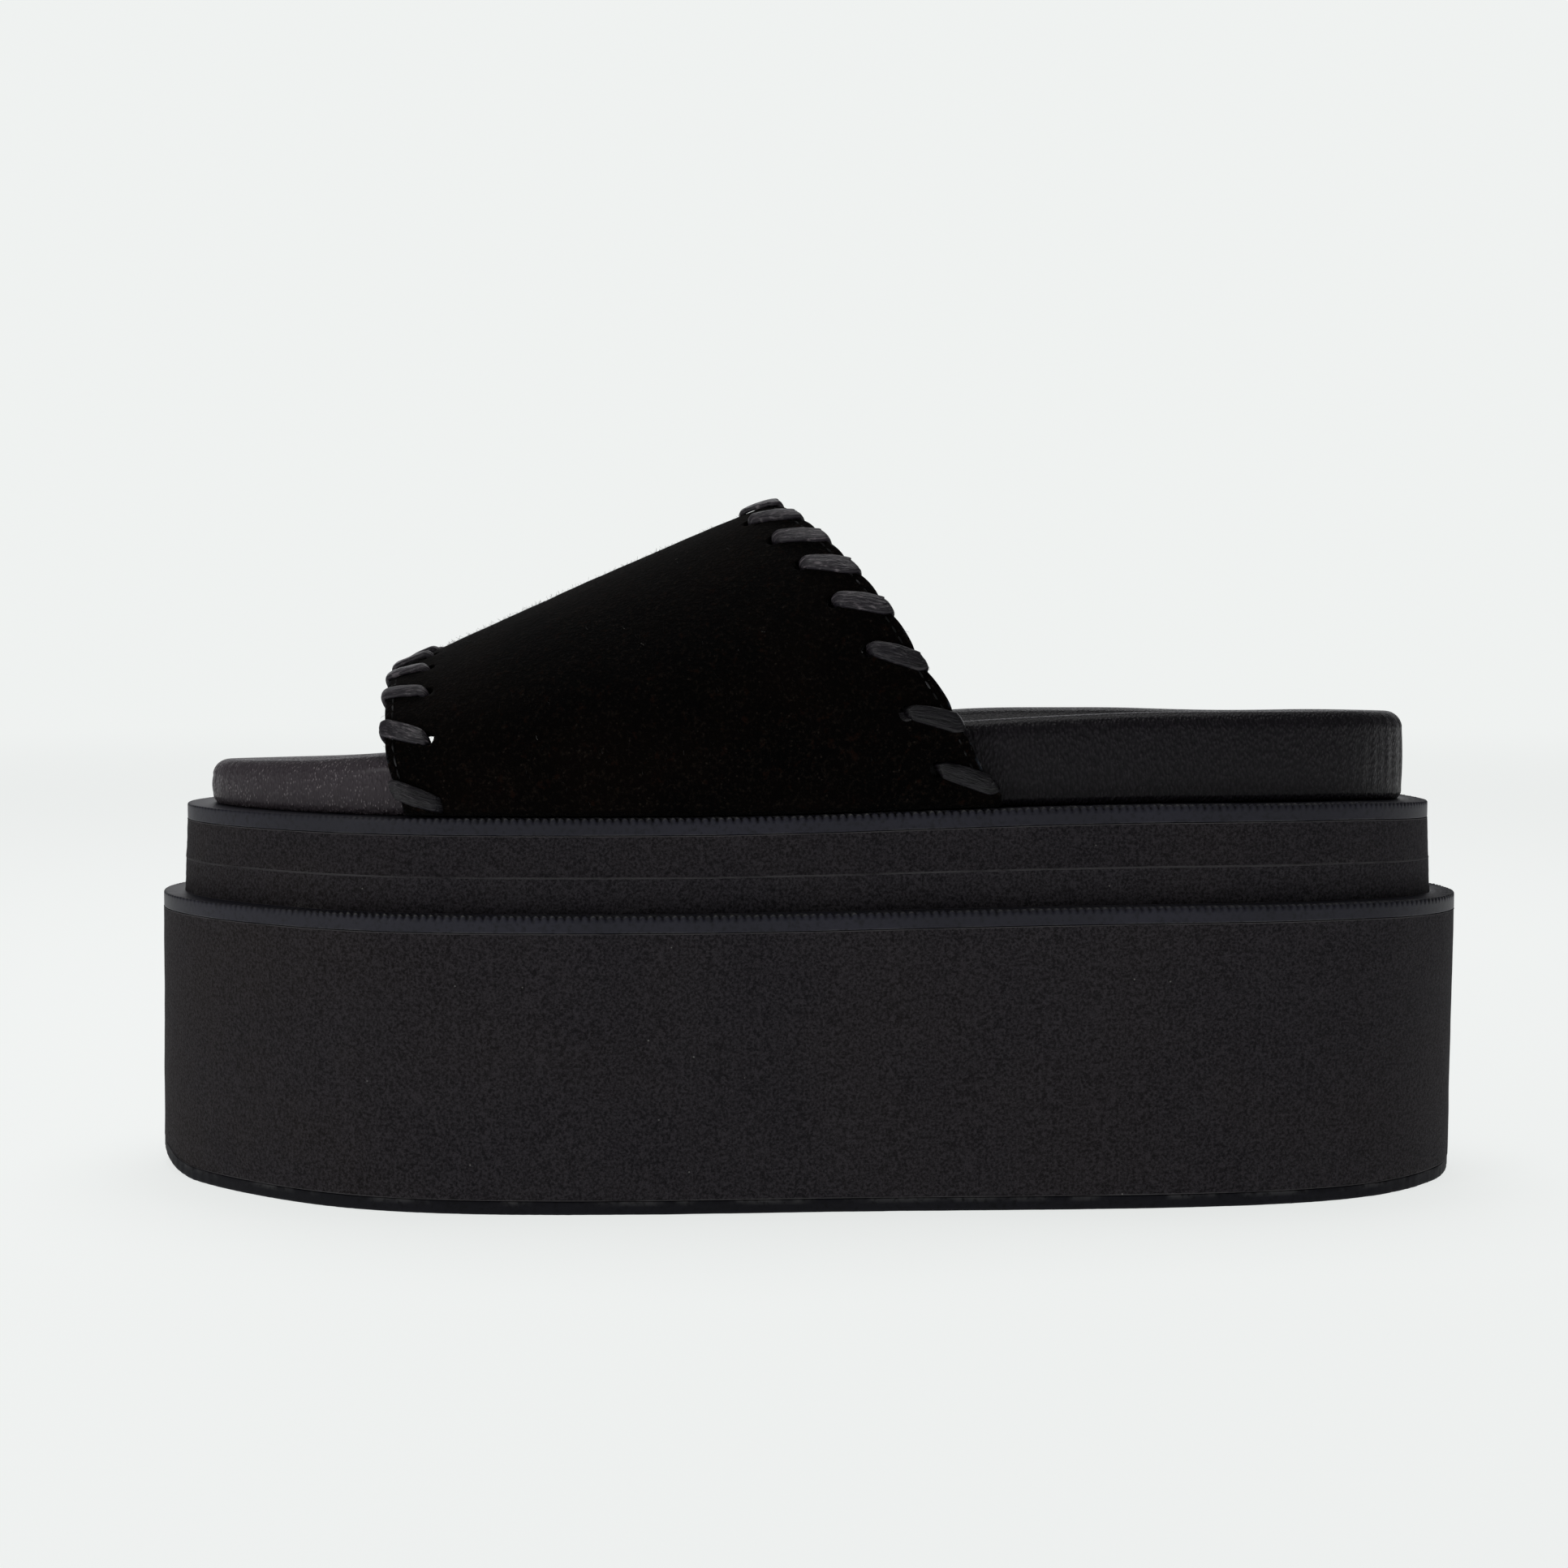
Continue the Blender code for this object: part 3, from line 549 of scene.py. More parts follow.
def make_foam_layer(name, material, low, top, low_grow, top_grow, shifts, steps, seed):
    """A foam layer with slightly uneven buffed walls and small rounded edges."""
    rings = Rings(PLAN_CURVE.even(FOAM_COLUMNS), "dust", "joint")
    away = np.abs(rings.place[:, 0] - DUST_MIDDLE)
    at_ends = np.clip((away - DUST_START) / DUST_RUN, 0.3, 1.0)
    tall = float(top(np.array(0.0)) - low(np.array(0.0)))
    thin = FOAM_LINE / tall
    edge_rows = np.array((thin, 1.7 * thin))
    shares = np.concatenate((np.linspace(0.0, 1.0, steps), edge_rows, 1.0 - edge_rows))
    rings.add(low_grow - LAYER_INSIDE, shifts[0], low)
    for inset, drop in edge_arc(FOAM_EDGE_RADIUS, CUT_TURNS)[::-1]:
        rings.add(low_grow - inset, shifts[0], lambda x: low(x) + drop,
                  dust=at_ends, joint=1.0)
    for share in np.sort(shares)[1:-1]:
        at = np.column_stack((rings.place, np.full(FOAM_COLUMNS, 0.05 * share)))
        bulge = BUFF_WIDE * waves(at, 0.035, seed) + BUFF_FINE * waves(at, 0.009, seed + 1)
        rings.add(mix(low_grow, top_grow, share) + bulge - FOAM_INSET, mix(*shifts, share),
                  lambda x: mix(low(x), top(x), share),
                  dust=at_ends * max(0.0, 1.0 - share * tall / DUST_HEIGHT),
                  joint=float(share in (thin, 1.0 - thin)))
    for inset, drop in edge_arc(FOAM_EDGE_RADIUS, CUT_TURNS):
        rings.add(top_grow - inset, shifts[1], lambda x: top(x) - drop, joint=1.0)
    rings.add(top_grow - LAYER_INSIDE, shifts[1], top)
    rings.finish(name + "_foam", material, name)


TREAD_PITCH = 0.0045
TREAD_DEPTH = 0.0007
TREAD_BORDER = 0.0045
TREAD_SLOPE = 0.0008
RAGGED_FINE = 0.00005
RAGGED_WIDE = 0.00004
GROUND_EDGE = 0.0015
GROUND_RADIUS = 0.0004
OUTSOLE_INSET = 0.00008
# Shift of the outline along X at the block's top and, towards the toe, on the ground
LEAN = 0.5 * BLOCK_LEAN
OUTSOLE_LEAN = -LEAN + BLOCK_LEAN * OUTSOLE_THICK / BLOCK_TOP


def make_outsole(material):
    """Rubber sheet with ribs across its ground side, inside a flat border."""
    rings = Rings(PLAN_CURVE.by_length(360), "joint")
    ragged = (RAGGED_FINE * waves(rings.place, 0.0022, 21)
              + RAGGED_WIDE * waves(rings.place, 0.012, 22))

    def rib(x):
        wave = 0.5 + 0.5 * np.cos(2.0 * np.pi * x / TREAD_PITCH)
        return roll(x) + TREAD_DEPTH * wave ** 2

    rings.add(-TREAD_BORDER - TREAD_SLOPE, -LEAN, rib)
    rings.add(-TREAD_BORDER, -LEAN, roll)
    rings.add(-GROUND_EDGE, -LEAN, roll)
    for inset, drop in edge_arc(GROUND_RADIUS, 3)[::-1]:
        rings.add(-inset + ragged - OUTSOLE_INSET, -LEAN, lambda x: roll(x) + drop)
    for share in (0.3, 0.6):
        rings.add(ragged - OUTSOLE_INSET, mix(-LEAN, OUTSOLE_LEAN, share),
                  lambda x: roll(x) + share * OUTSOLE_THICK)
    for inset, drop in edge_arc(CUT_RADIUS, CUT_TURNS):
        rings.add(-inset + ragged - OUTSOLE_INSET, OUTSOLE_LEAN,
                  lambda x: roll(x) + OUTSOLE_THICK - drop, joint=1.0)
    rings.add(-LAYER_INSIDE, OUTSOLE_LEAN, lambda x: roll(x) + OUTSOLE_THICK)
    rings.finish("outsole_dressed", material, "outsole")


def make_platform(looks):
    make_outsole(looks["outsole_rubber"])
    make_foam_layer("platform_block", looks["tier_foam"],
                    lambda x: roll(x) + OUTSOLE_THICK + FOAM_GAP,
                    lambda x: rise(x, BLOCK_TOP + PRESS), 0.0, 0.0,
                    (OUTSOLE_LEAN, LEAN), 36, 31)
    make_rubber_layer("platform_cover", BLOCK_TOP + RUBBER_GAP, COVER_TOP, 0.0, LEAN,
                      TIER_LEDGE, KNURL_COVER, looks["tier_rubber"])
    low = -TIER_LEDGE + RISER_FLARE
    mid = -TIER_LEDGE + RISER_FLARE * RISER_UPPER_THICK / (RISER_TOP - COVER_TOP)
    make_foam_layer("riser_lower", looks["riser_foam"], lambda x: rise(x, COVER_TOP - PRESS),
                    lambda x: rise(x, RISER_MID + PRESS), low, mid, (0.0, 0.0), 9, 41)
    make_foam_layer("riser_upper", looks["tier_foam"],
                    lambda x: rise(x, RISER_MID + FOAM_GAP),
                    lambda x: rise(x, RISER_TOP + PRESS), mid, -TIER_LEDGE,
                    (0.0, 0.0), 9, 51)
    make_rubber_layer("welt", RISER_TOP + RUBBER_GAP, WELT_TOP, -TIER_LEDGE, 0.0,
                      FOOTBED_LEDGE, KNURL_WELT, looks["tier_rubber"])


# Footbed

FOOTBED_COLUMNS = 760
FOOTBED_SPINE = 0.036
RIM_HIGHLIGHT_LINE = 0.00006
SIDE_FOLDS = 0.00018
SIDE_SWELL = 0.00012
RIM_FOLDS = 0.00013
CUP_SAG = 0.0007
TOE_RIDGE = 0.0009
ARCH_RISE = 0.0008


def make_footbed(material):
    """Leather wrapped over the rim and down the side, with its cup inside."""
    arc = PLAN_CURVE.even(FOOTBED_COLUMNS)
    rings = Rings(arc, "rim")
    ends = np.clip((np.abs(rings.place[:, 0]) - 0.085) / 0.045, 0.0, 1.0)
    folds = 0.6 * waves(arc[:, None], 0.0046, 61) + 0.4 * waves(arc[:, None], 0.0021, 62)

    def add(grow, height, **marks):
        flat = rings.place + rings.normal * (FOOTBED_GROW + np.reshape(grow, (-1, 1)))
        rings.add_row(np.column_stack((flat, height(flat[:, 0], flat[:, 1]))), **marks)

    def base(x, _):
        return welt_top(x) + PRESS

    add(-FOOTBED_TUCK - LAYER_INSIDE, base)
    add(-FOOTBED_TUCK, base)
    for share in (0.35, 0.7, 1.0):
        curve = math.sin(0.5 * math.pi * share)
        add(-FOOTBED_TUCK * (1.0 - curve),
            lambda x, y: base(x, y) + share * FOOTBED_TUCK_HEIGHT)
    for share in np.linspace(0.0, 1.0, 13)[1:]:
        fold = SIDE_FOLDS * ends * folds * math.sin(math.pi * min(share * 0.8 + 0.1, 1.0))
        swell = SIDE_SWELL * math.sin(math.pi * share)
        add(fold + swell - PRESS, lambda x, y: mix(
            welt_top(x) + LAYER_GAP + FOOTBED_TUCK_HEIGHT,
            rim_height(x, y) - FOOTBED_EDGE_RADIUS, share))
    # The rim mark paints a highlight line along the top of the rounded edge.
    for inset, drop in edge_arc(FOOTBED_EDGE_RADIUS, 9)[1:]:
        fade = 1.0 - inset / FOOTBED_EDGE_RADIUS
        add(-inset + RIM_FOLDS * ends * folds * fade - PRESS * fade,
            lambda x, y: rim_height(x, y) - drop, rim=float(drop < RIM_HIGHLIGHT_LINE))
    for share in np.linspace(0.0, 1.0, 15)[1:]:
        add(-FOOTBED_EDGE_RADIUS - share * CUP_SLOPE,
            lambda x, y: rim_height(x, y) - CUP(share) * cup_depth(x))
    edge = rings.rows[-1]
    spine_x = np.clip(edge[:, 0], -0.5 * FOOTBED_LENGTH + FOOTBED_SPINE,
                      0.5 * FOOTBED_LENGTH - FOOTBED_SPINE)
    grow = FOOTBED_GROW - FOOTBED_EDGE_RADIUS - CUP_SLOPE
    near, far = (PLAN_CURVE.side(grow, spine_x, medial) for medial in (False, True))
    for share in np.linspace(0.0, 1.0, 13)[1:-1]:
        x = mix(edge[:, 0], spine_x, share)
        y = mix(edge[:, 1], 0.5 * (near + far), share)
        sag = CUP_SAG * math.sin(0.5 * math.pi * share)
        toe_ridge = TOE_RIDGE * np.exp(-((x + 0.072) / 0.010) ** 2) * share
        arch = ARCH_RISE * np.exp(-((x - 0.03) / 0.03) ** 2) * share
        height = mix(edge[:, 2], rim_height(x, 0.0 * x) - cup_depth(x), share)
        rings.add_row(np.column_stack((x, y, height - sag + toe_ridge + arch)))
    rings.finish("footbed_leather", material, "footbed")


# Strap


def strap_section(t):
    """Middle line of the strap at a share of the way from its front edge to its rear."""
    foot_x = mix(STRAP_FRONT_X, STRAP_REAR_X, t)
    low = welt_top(foot_x) + LAYER_GAP + 0.5 * STRAP_WALL + STRAP_BEND_RADIUS
    spring = low + mix(STRAP_SIDE_FRONT, STRAP_SIDE_REAR, t)
    crest = (mix(welt_top(STRAP_FRONT_X) + STRAP_FRONT_HEIGHT,
                 welt_top(STRAP_REAR_X) + STRAP_REAR_HEIGHT, t)
             + 4.0 * STRAP_RIDGE_BULGE * t * (1.0 - t))
    power = 2.0 / mix(ARCH_POWER_FRONT, ARCH_POWER_REAR, t)
    angles = np.linspace(0.0, 0.5 * math.pi, 121)
    out = np.concatenate((np.ones(40), np.clip(np.cos(angles), 0.0, 1.0) ** power))
    z = np.concatenate((np.linspace(low, spring, 41)[:-1],
                        mix(spring, crest, np.sin(angles) ** power)))
    share = (z - low) / (crest - low)
    x = foot_x + mix(STRAP_FRONT_LEAN * FRONT_EDGE(share), STRAP_REAR_LEAN * REAR_EDGE(share), t)
    near, far = (PLAN_CURVE.side(STRAP_GROW, x, medial) for medial in (False, True))
    middle = 0.5 * (near + far) + STRAP_CREST_SHIFT
    lateral, medial = (np.column_stack((x, mix(middle, y, out), z)) for y in (near, far))
    return np.vstack((lateral, medial[-2::-1]))


class StrapSurface:
    """Fine grid over the strap's middle surface, read by shares across and along it."""

    def __init__(self):
        self.t = np.linspace(-0.03, 1.03, 107)
        self.s = np.linspace(0.0, 1.0, 361)
        self.lengths = []
        grid = []
        for t in self.t:
            points = strap_section(t)
            arc = arc_lengths(points)
            self.lengths.append(arc[-1])
            grid.append([np.interp(self.s * arc[-1], arc, points[:, i]) for i in range(3)])
        self.grid = np.transpose(np.array(grid), (0, 2, 1))

    def length(self, t):
        return np.interp(t, self.t, self.lengths)

    def point(self, s, t):
        s, t = np.broadcast_arrays(np.asarray(s, float), np.asarray(t, float))
        row = (t - self.t[0]) / (self.t[1] - self.t[0])
        column = np.clip(s, 0.0, 1.0) * (len(self.s) - 1)
        i = np.clip(row.astype(int), 0, len(self.t) - 2)
        j = np.clip(column.astype(int), 0, len(self.s) - 2)
        u = (row - i)[..., None]
        v = (column - j)[..., None]
        found = mix(mix(self.grid[i, j], self.grid[i, j + 1], v),
                    mix(self.grid[i + 1, j], self.grid[i + 1, j + 1], v), u)
        beyond = (np.minimum(s, 0.0) + np.minimum(1.0 - s, 0.0)) * self.length(t)
        found[..., 2] += beyond
        return found

    def frame(self, s, t):
        """Point, ways across and along per share, and outward normal."""
        step_s = 0.004
        step_t = 0.010
        across = (self.point(s + step_s, t) - self.point(s - step_s, t)) / (2 * step_s)
        along = (self.point(s, t + step_t) - self.point(s, t - step_t)) / (2 * step_t)
        return self.point(s, t), across, along, unit(np.cross(along, across))

    def inset(self, s, t_edge, depth):
        """Shares of the points at depths in from an edge, square to it."""
        s = np.asarray(s, float)
        t = np.full_like(s, t_edge)
        _, across, along, _ = self.frame(s, t)
        edge = unit(across)
        inward = along if t_edge < 0.5 else -along
        square = unit(inward - np.sum(inward * edge, axis=-1, keepdims=True) * edge)
        a = np.sum(across * across, axis=-1)
        b = np.sum(across * along, axis=-1)
        d = np.sum(along * along, axis=-1)
        p = np.sum(across * square, axis=-1)
        q = np.sum(along * square, axis=-1)
        det = a * d - b * b
        return s + (p * d - q * b) / det * depth, t + (a * q - b * p) / det * depth


SURFACE = StrapSurface()

# Rounded cut edge of the strap, from its outer face to its middle and then mirrored: depth
# in from the edge, offset as a share of half the wall, how far it is raw cut leather
HALF_EDGE = ((0.00070, 1.00, 0.0), (0.00030, 0.97, 0.4), (0.00008, 0.85, 1.0),
             (0.0, 0.60, 1.0), (0.0, 0.20, 1.0), (0.00010, 0.06, 1.0))
STRAP_EDGE = HALF_EDGE + tuple((depth, -off, raw) for depth, off, raw in HALF_EDGE[::-1])
# Foot of the strap: run inwards under the footbed, and turn of the bend in degrees
STRAP_FOOT = ((STRAP_TAB - STRAP_BEND_RADIUS, 90.0), (0.0, 90.0), (0.0, 72.0), (0.0, 54.0),
              (0.0, 36.0), (0.0, 18.0))
SMALLEST_BEND = 0.0003
STRAP_COLUMNS = 380
STRAP_ROWS = 66
REAR_EDGE_PULL = 0.00095
FRONT_EDGE_PULL = 0.00035
EDGE_PULL_WIDTH = 0.0030
SUEDE_SWELL = 0.00010
SUEDE_RIPPLE = 0.00003


class LacedEdge:
    """An edge of the strap: where the lace's bars cross it and where its holes lie."""

    def __init__(self, t, stitches, slant, inset, pull):
        self.t = t
        self.length = float(SURFACE.length(t))
        self.edges = [share * self.length for share in stitches]
        self.holes = [edge + slant for edge in self.edges]
        self.inset = inset
        self.pull = pull

    def row(self, s, depth):
        """Shares along the strap at a depth in from the edge, drawn in by the bars."""
        pull = 0.0
        for edge in self.edges:
            pull = pull + np.exp(-((s * self.length - edge) / EDGE_PULL_WIDTH) ** 2)
        wide = np.linalg.norm(SURFACE.frame(s, np.full(len(s), self.t))[2], axis=-1)
        return np.abs(self.t - (depth + self.pull * np.minimum(pull, 1.0)) / wide)


FRONT = LacedEdge(0.0, FRONT_STITCHES, -FRONT_SLANT, FRONT_HOLE_INSET, FRONT_EDGE_PULL)
REAR = LacedEdge(1.0, REAR_STITCHES, REAR_SLANT, REAR_HOLE_INSET, REAR_EDGE_PULL)


def strap_foot(spring, way, off):
    """Bend and tab below one end of a line across the strap."""
    centre = np.array((spring[0], spring[1] - way * STRAP_BEND_RADIUS, spring[2]))
    radius = max(STRAP_BEND_RADIUS + off * 0.5 * STRAP_WALL, SMALLEST_BEND)
    part = []
    for run, degrees in STRAP_FOOT:
        a = math.radians(degrees)
        part.append(centre + np.array((0.0, way * radius * math.cos(a) - way * run,
                                       -radius * math.sin(a))))
    return part


def make_strap(material):
    s = np.linspace(0.0, 1.0, STRAP_COLUMNS)
    inner = np.linspace(0.0, 1.0, STRAP_ROWS)[1:-1]
    loop = [(np.full(STRAP_COLUMNS, t), 1.0, 0.0) for t in inner]
    loop += [(REAR.row(s, depth), off, raw) for depth, off, raw in STRAP_EDGE]
    loop += [(np.full(STRAP_COLUMNS, t), -1.0, 0.0) for t in inner[::-1]]
    loop += [(FRONT.row(s, depth), off, raw) for depth, off, raw in STRAP_EDGE[::-1]]
    sections = []
    raws = []
    for t, off, raw in loop:
        point, _, _, normal = SURFACE.frame(s, t)
        soft = SUEDE_SWELL * waves(point, 0.034, 71) + SUEDE_RIPPLE * waves(point, 0.007, 72)
        line = point + normal * (off * 0.5 * STRAP_WALL + soft)[:, None]
        sections.append(np.vstack((strap_foot(point[0], -1.0, off), line,
                                   strap_foot(point[-1], 1.0, off)[::-1])))
        raws.append(np.full(len(sections[-1]), raw))
    sections = np.array(sections)
    count, total = sections.shape[:2]
    faces = []
    for low in range(0, count * total, total):
        high = (low + total) % (count * total)
        for k in range(total - 1):
            faces.append((low + k, high + k, high + k + 1, low + k + 1))
    faces.append([r * total for r in range(count)])
    faces.append([r * total + total - 1 for r in range(count)][::-1])
    obj = mesh_object("suede_strap", sections.reshape(-1, 3), faces, {"raw": raws})
    punch_holes(obj)
    finish_piece(obj, material, ["strap"])


def punch_holes(obj):
    """Round holes for the lace, cut through the wall."""
    bm = bmesh.new()
    for laced, holes in ((FRONT, FRONT.holes[1:]), (REAR, REAR.holes)):
        for hole in holes:
            s, t = SURFACE.inset(hole / laced.length, laced.t, laced.inset + HOLE_SHIFT)
            point, _, _, normal = SURFACE.frame(s, t)
            turn = Vector((0.0, 0.0, 1.0)).rotation_difference(Vector(normal))
            place = Matrix.Translation(Vector(point)) @ turn.to_matrix().to_4x4()
            bmesh.ops.create_cone(bm, cap_ends=True, segments=HOLE_SIDES,
                                  radius1=HOLE_RADIUS, radius2=HOLE_RADIUS,
                                  depth=2.2 * STRAP_WALL, matrix=place)
    mesh = bpy.data.meshes.new("punches")
    bm.to_mesh(mesh)
    bm.free()
    punches = new_object("punches", mesh)
    cut = obj.modifiers.new("holes", "BOOLEAN")
    cut.operation = "DIFFERENCE"
    cut.solver = "EXACT"
    cut.object = punches
    bpy.context.view_layer.update()
    shape = obj.evaluated_get(bpy.context.evaluated_depsgraph_get())
    done = bpy.data.meshes.new_from_object(shape)
    obj.modifiers.clear()
    obj.data = done
    bpy.data.objects.remove(punches, do_unlink=True)


# Lace


def smooth_path(rows, steps):
    """Points on a smooth curve through the rows, which may be of any width."""
    rows = np.asarray(rows, float)
    ext = np.vstack((2 * rows[0] - rows[1], rows, 2 * rows[-1] - rows[-2]))
    out = []
    for a, b, c, d in zip(ext, ext[1:], ext[2:], ext[3:]):
        for k in range(steps):
            u = k / steps
            out.append(0.5 * (2 * b + (c - a) * u + (2 * a - 5 * b + 4 * c - d) * u ** 2
                              + (3 * b - 3 * c + d - a) * u ** 3))
    out.append(rows[-1])
    return np.array(out)


def lace_path(laced):
    """Rows along the lace: the two shares on the strap, offset, neck."""
    ends = [SURFACE.inset(hole / laced.length, laced.t, laced.inset) for hole in laced.holes]
    if laced is FRONT:
        ends[0] = FRONT_START
    turns = list(zip(ends, laced.edges))
    if laced is REAR:
        turns.reverse()
    after = [end for end, _ in turns[1:]] + [None]
    path = []
    for (end, edge), following in zip(turns, after):
        start = np.array(end)
        over = np.array((edge / laced.length, laced.t))
        if end is FRONT_START:
            for way, off in FRONT_TUCK:
                path.append((*mix(start, over, way), off, 0.5))
        for way, extra, off, neck in TURN:
            if following is None and way > 1.1:
                break
            if end is FRONT_START and way < 0.1:
                continue
            if way <= 1.0:
                place = mix(start, over, way)
            else:
                place = mix(over, np.array(following or over), way - 1.0)
            way_in = 0.9 * laced.pull * max(0.0, 1.0 - 1.6 * abs(way - 1.0))
            beyond = SURFACE.inset(over[0], laced.t, extra * LACE_OFFSET + way_in)
            path.append((*(place + np.array(beyond) - over), off, neck))
    return path


# Points round the lace: across as a share of its width, share of its thickness
LACE_SECTION = (
    (-0.500, -0.18), (-0.470, -0.42), (-0.400, -0.50), (0.0, -0.50), (0.400, -0.50),
    (0.470, -0.42), (0.500, -0.18), (0.500, 0.16), (0.475, 0.38), (0.420, 0.48),
    (0.300, 0.50), (0.160, 0.50), (0.0, 0.50), (-0.160, 0.50), (-0.300, 0.50),
    (-0.420, 0.48), (-0.475, 0.38), (-0.500, 0.16),
)


def make_lace(node_name, laced, material):
    s, t, off, neck = smooth_path(lace_path(laced), TURN_STEPS).T
    point, _, _, normal = SURFACE.frame(s, t)
    ways = SURFACE.frame(s, np.full(len(s), laced.t))[1]
    points = point + normal * (off * LACE_OFFSET)[:, None]
    run = unit(np.gradient(points, axis=0))
    wide = unit(ways - np.sum(ways * run, axis=1)[:, None] * run)
    thick = np.cross(run, wide)
    arc = arc_lengths(points)
    neck = np.clip(neck, 0.0, 1.0)
    width = LACE_WIDTH * mix(1.0, LACE_NECK, neck) * (1.0 + 0.05 * waves(arc[:, None], 0.02, 81))
    deep = LACE_THICK * mix(1.0, LACE_NECK_THICK, neck)
    side = 1.0 if np.sum(thick[8] * normal[8]) > 0.0 else -1.0
    verts = []
    for a, b in LACE_SECTION:
        lift = b * deep
        if b > 0.0:
            crease = np.column_stack((np.full(len(arc), a * LACE_WIDTH), arc * CREASE_STRETCH))
            fine = (CREASE_DEPTH + CREASE_NECK_DEPTH * neck) * waves(crease, CREASE_SIZE, 82)
            lift = lift + LACE_CROWN * (1.0 - (2.0 * a) ** 2) + fine
        verts.append(points + wide * (a * width)[:, None] + thick * (lift * side)[:, None])
    verts = np.transpose(np.array(verts), (1, 0, 2))
    rings, sides = verts.shape[:2]
    faces = wall_faces(rings, sides)
    faces.append(list(range(sides)))
    faces.append([(rings - 1) * sides + k for k in range(sides)][::-1])
    across = np.array([a for a, _ in LACE_SECTION]) * LACE_WIDTH
    obj = mesh_object(node_name + "_leather", verts.reshape(-1, 3), faces,
                      {"run": np.repeat(arc, sides), "band": np.tile(across, rings)})
    finish_piece(obj, material, [node_name])


# Small work on the strap

STITCH_PITCH = 0.0026
STITCH_LENGTH = 0.0020
STITCH_RADIUS = 0.00022
STITCH_INSET = 0.0019
STITCH_START = 0.002
STITCH_SINK = 0.00016
FIBRE_ROOT = 0.00008
# Fibres: count, shortest and longest, radius, least and most lift, seed, share at the edges
NAP = (5200, (0.0005, 0.0013), 0.000026, (0.1, 0.9), 91, 0.0)
LINT = (260, (0.0006, 0.0016), 0.00003, (0.0, 0.25), 92, 0.45)


def tube(points, radii, sides):
    """Verts and faces of a thin closed tube along points."""
    run = unit(np.gradient(points, axis=0))
    other = unit(np.cross(run, (0.31, 0.22, 0.93)))
    third = np.cross(run, other)
    verts = []
    for k in range(sides):
        a = 2.0 * math.pi * k / sides
        verts.append(points + (other * math.cos(a) + third * math.sin(a)) * radii[:, None])
    faces = wall_faces(len(points), sides)
    faces.append(list(range(sides))[::-1])
    faces.append([(len(points) - 1) * sides + k for k in range(sides)])
    return np.transpose(np.array(verts), (1, 0, 2)).reshape(-1, 3), faces


def finish_tubes(name, parts, material):
    """Join many tubes into one piece on the strap."""
    faces = []
    total = 0
    for part_verts, part_faces in parts:
        faces += [[k + total for k in face] for face in part_faces]
        total += len(part_verts)
    mesh = bpy.data.meshes.new(name)
    verts = np.vstack([part_verts for part_verts, _ in parts])
    mesh.from_pydata([tuple(v) for v in verts], [], faces)
    finish_piece(new_object(name, mesh), material, [])


def make_stitching(material):
    """Machine stitches along both laced edges, half sunk in the nap."""
    parts = []
    shares = np.linspace(0.0, 1.0, 6)
    arch = np.sin(np.pi * shares)
    lift = 0.5 * STRAP_WALL - STITCH_SINK + STITCH_RADIUS * arch
    for laced in (FRONT, REAR):
        for k in range(int((laced.length - 2.0 * STITCH_START) / STITCH_PITCH)):
            start = STITCH_START + k * STITCH_PITCH
            place = (start + STITCH_LENGTH * shares) / laced.length
            s, t = SURFACE.inset(place, laced.t, STITCH_INSET)
            point, _, _, normal = SURFACE.frame(s, t)
            parts.append(tube(point + normal * lift[:, None],
                              STITCH_RADIUS * (0.45 + 0.55 * arch), 6))
    finish_tubes("edge_stitching", parts, material)


def make_fibres(name, material, count, lengths, radius, lift, seed, edges):
    """Short loose fibres that stand out of the suede."""
    rng = np.random.default_rng(seed)
    s = rng.uniform(0.0, 1.0, count)
    t = rng.uniform(0.004, 0.996, count)
    at_edge = rng.uniform(0.0, 1.0, count) < edges
    near = rng.uniform(0.0, 0.02, count)
    t = np.where(at_edge, np.where(rng.uniform(0.0, 1.0, count) < 0.6, 1.0 - near, near), t)
    point, across, along, normal = SURFACE.frame(s, t)
    across = unit(across)
    along = unit(along)
    turn = rng.uniform(0.0, 2.0 * np.pi, count)[:, None]
    way = across * np.cos(turn) + along * np.sin(turn)
    bend = across * np.sin(turn + 1.1) + along * np.cos(turn + 1.1)
    size = rng.uniform(*lengths, count)[:, None]
    up = rng.uniform(*lift, count)[:, None]
    root = point + normal * (0.5 * STRAP_WALL - FIBRE_ROOT)
    middle = root + way * size * 0.5 + normal * up * size * 0.75
    tip = root + way * size * 0.85 + bend * size * 0.35 + normal * up * size
    radii = radius * np.array((1.0, 0.8, 0.35))
    parts = [tube(np.array(points), radii, 3) for points in zip(root, middle, tip)]
    finish_tubes(name, parts, material)


# Materials


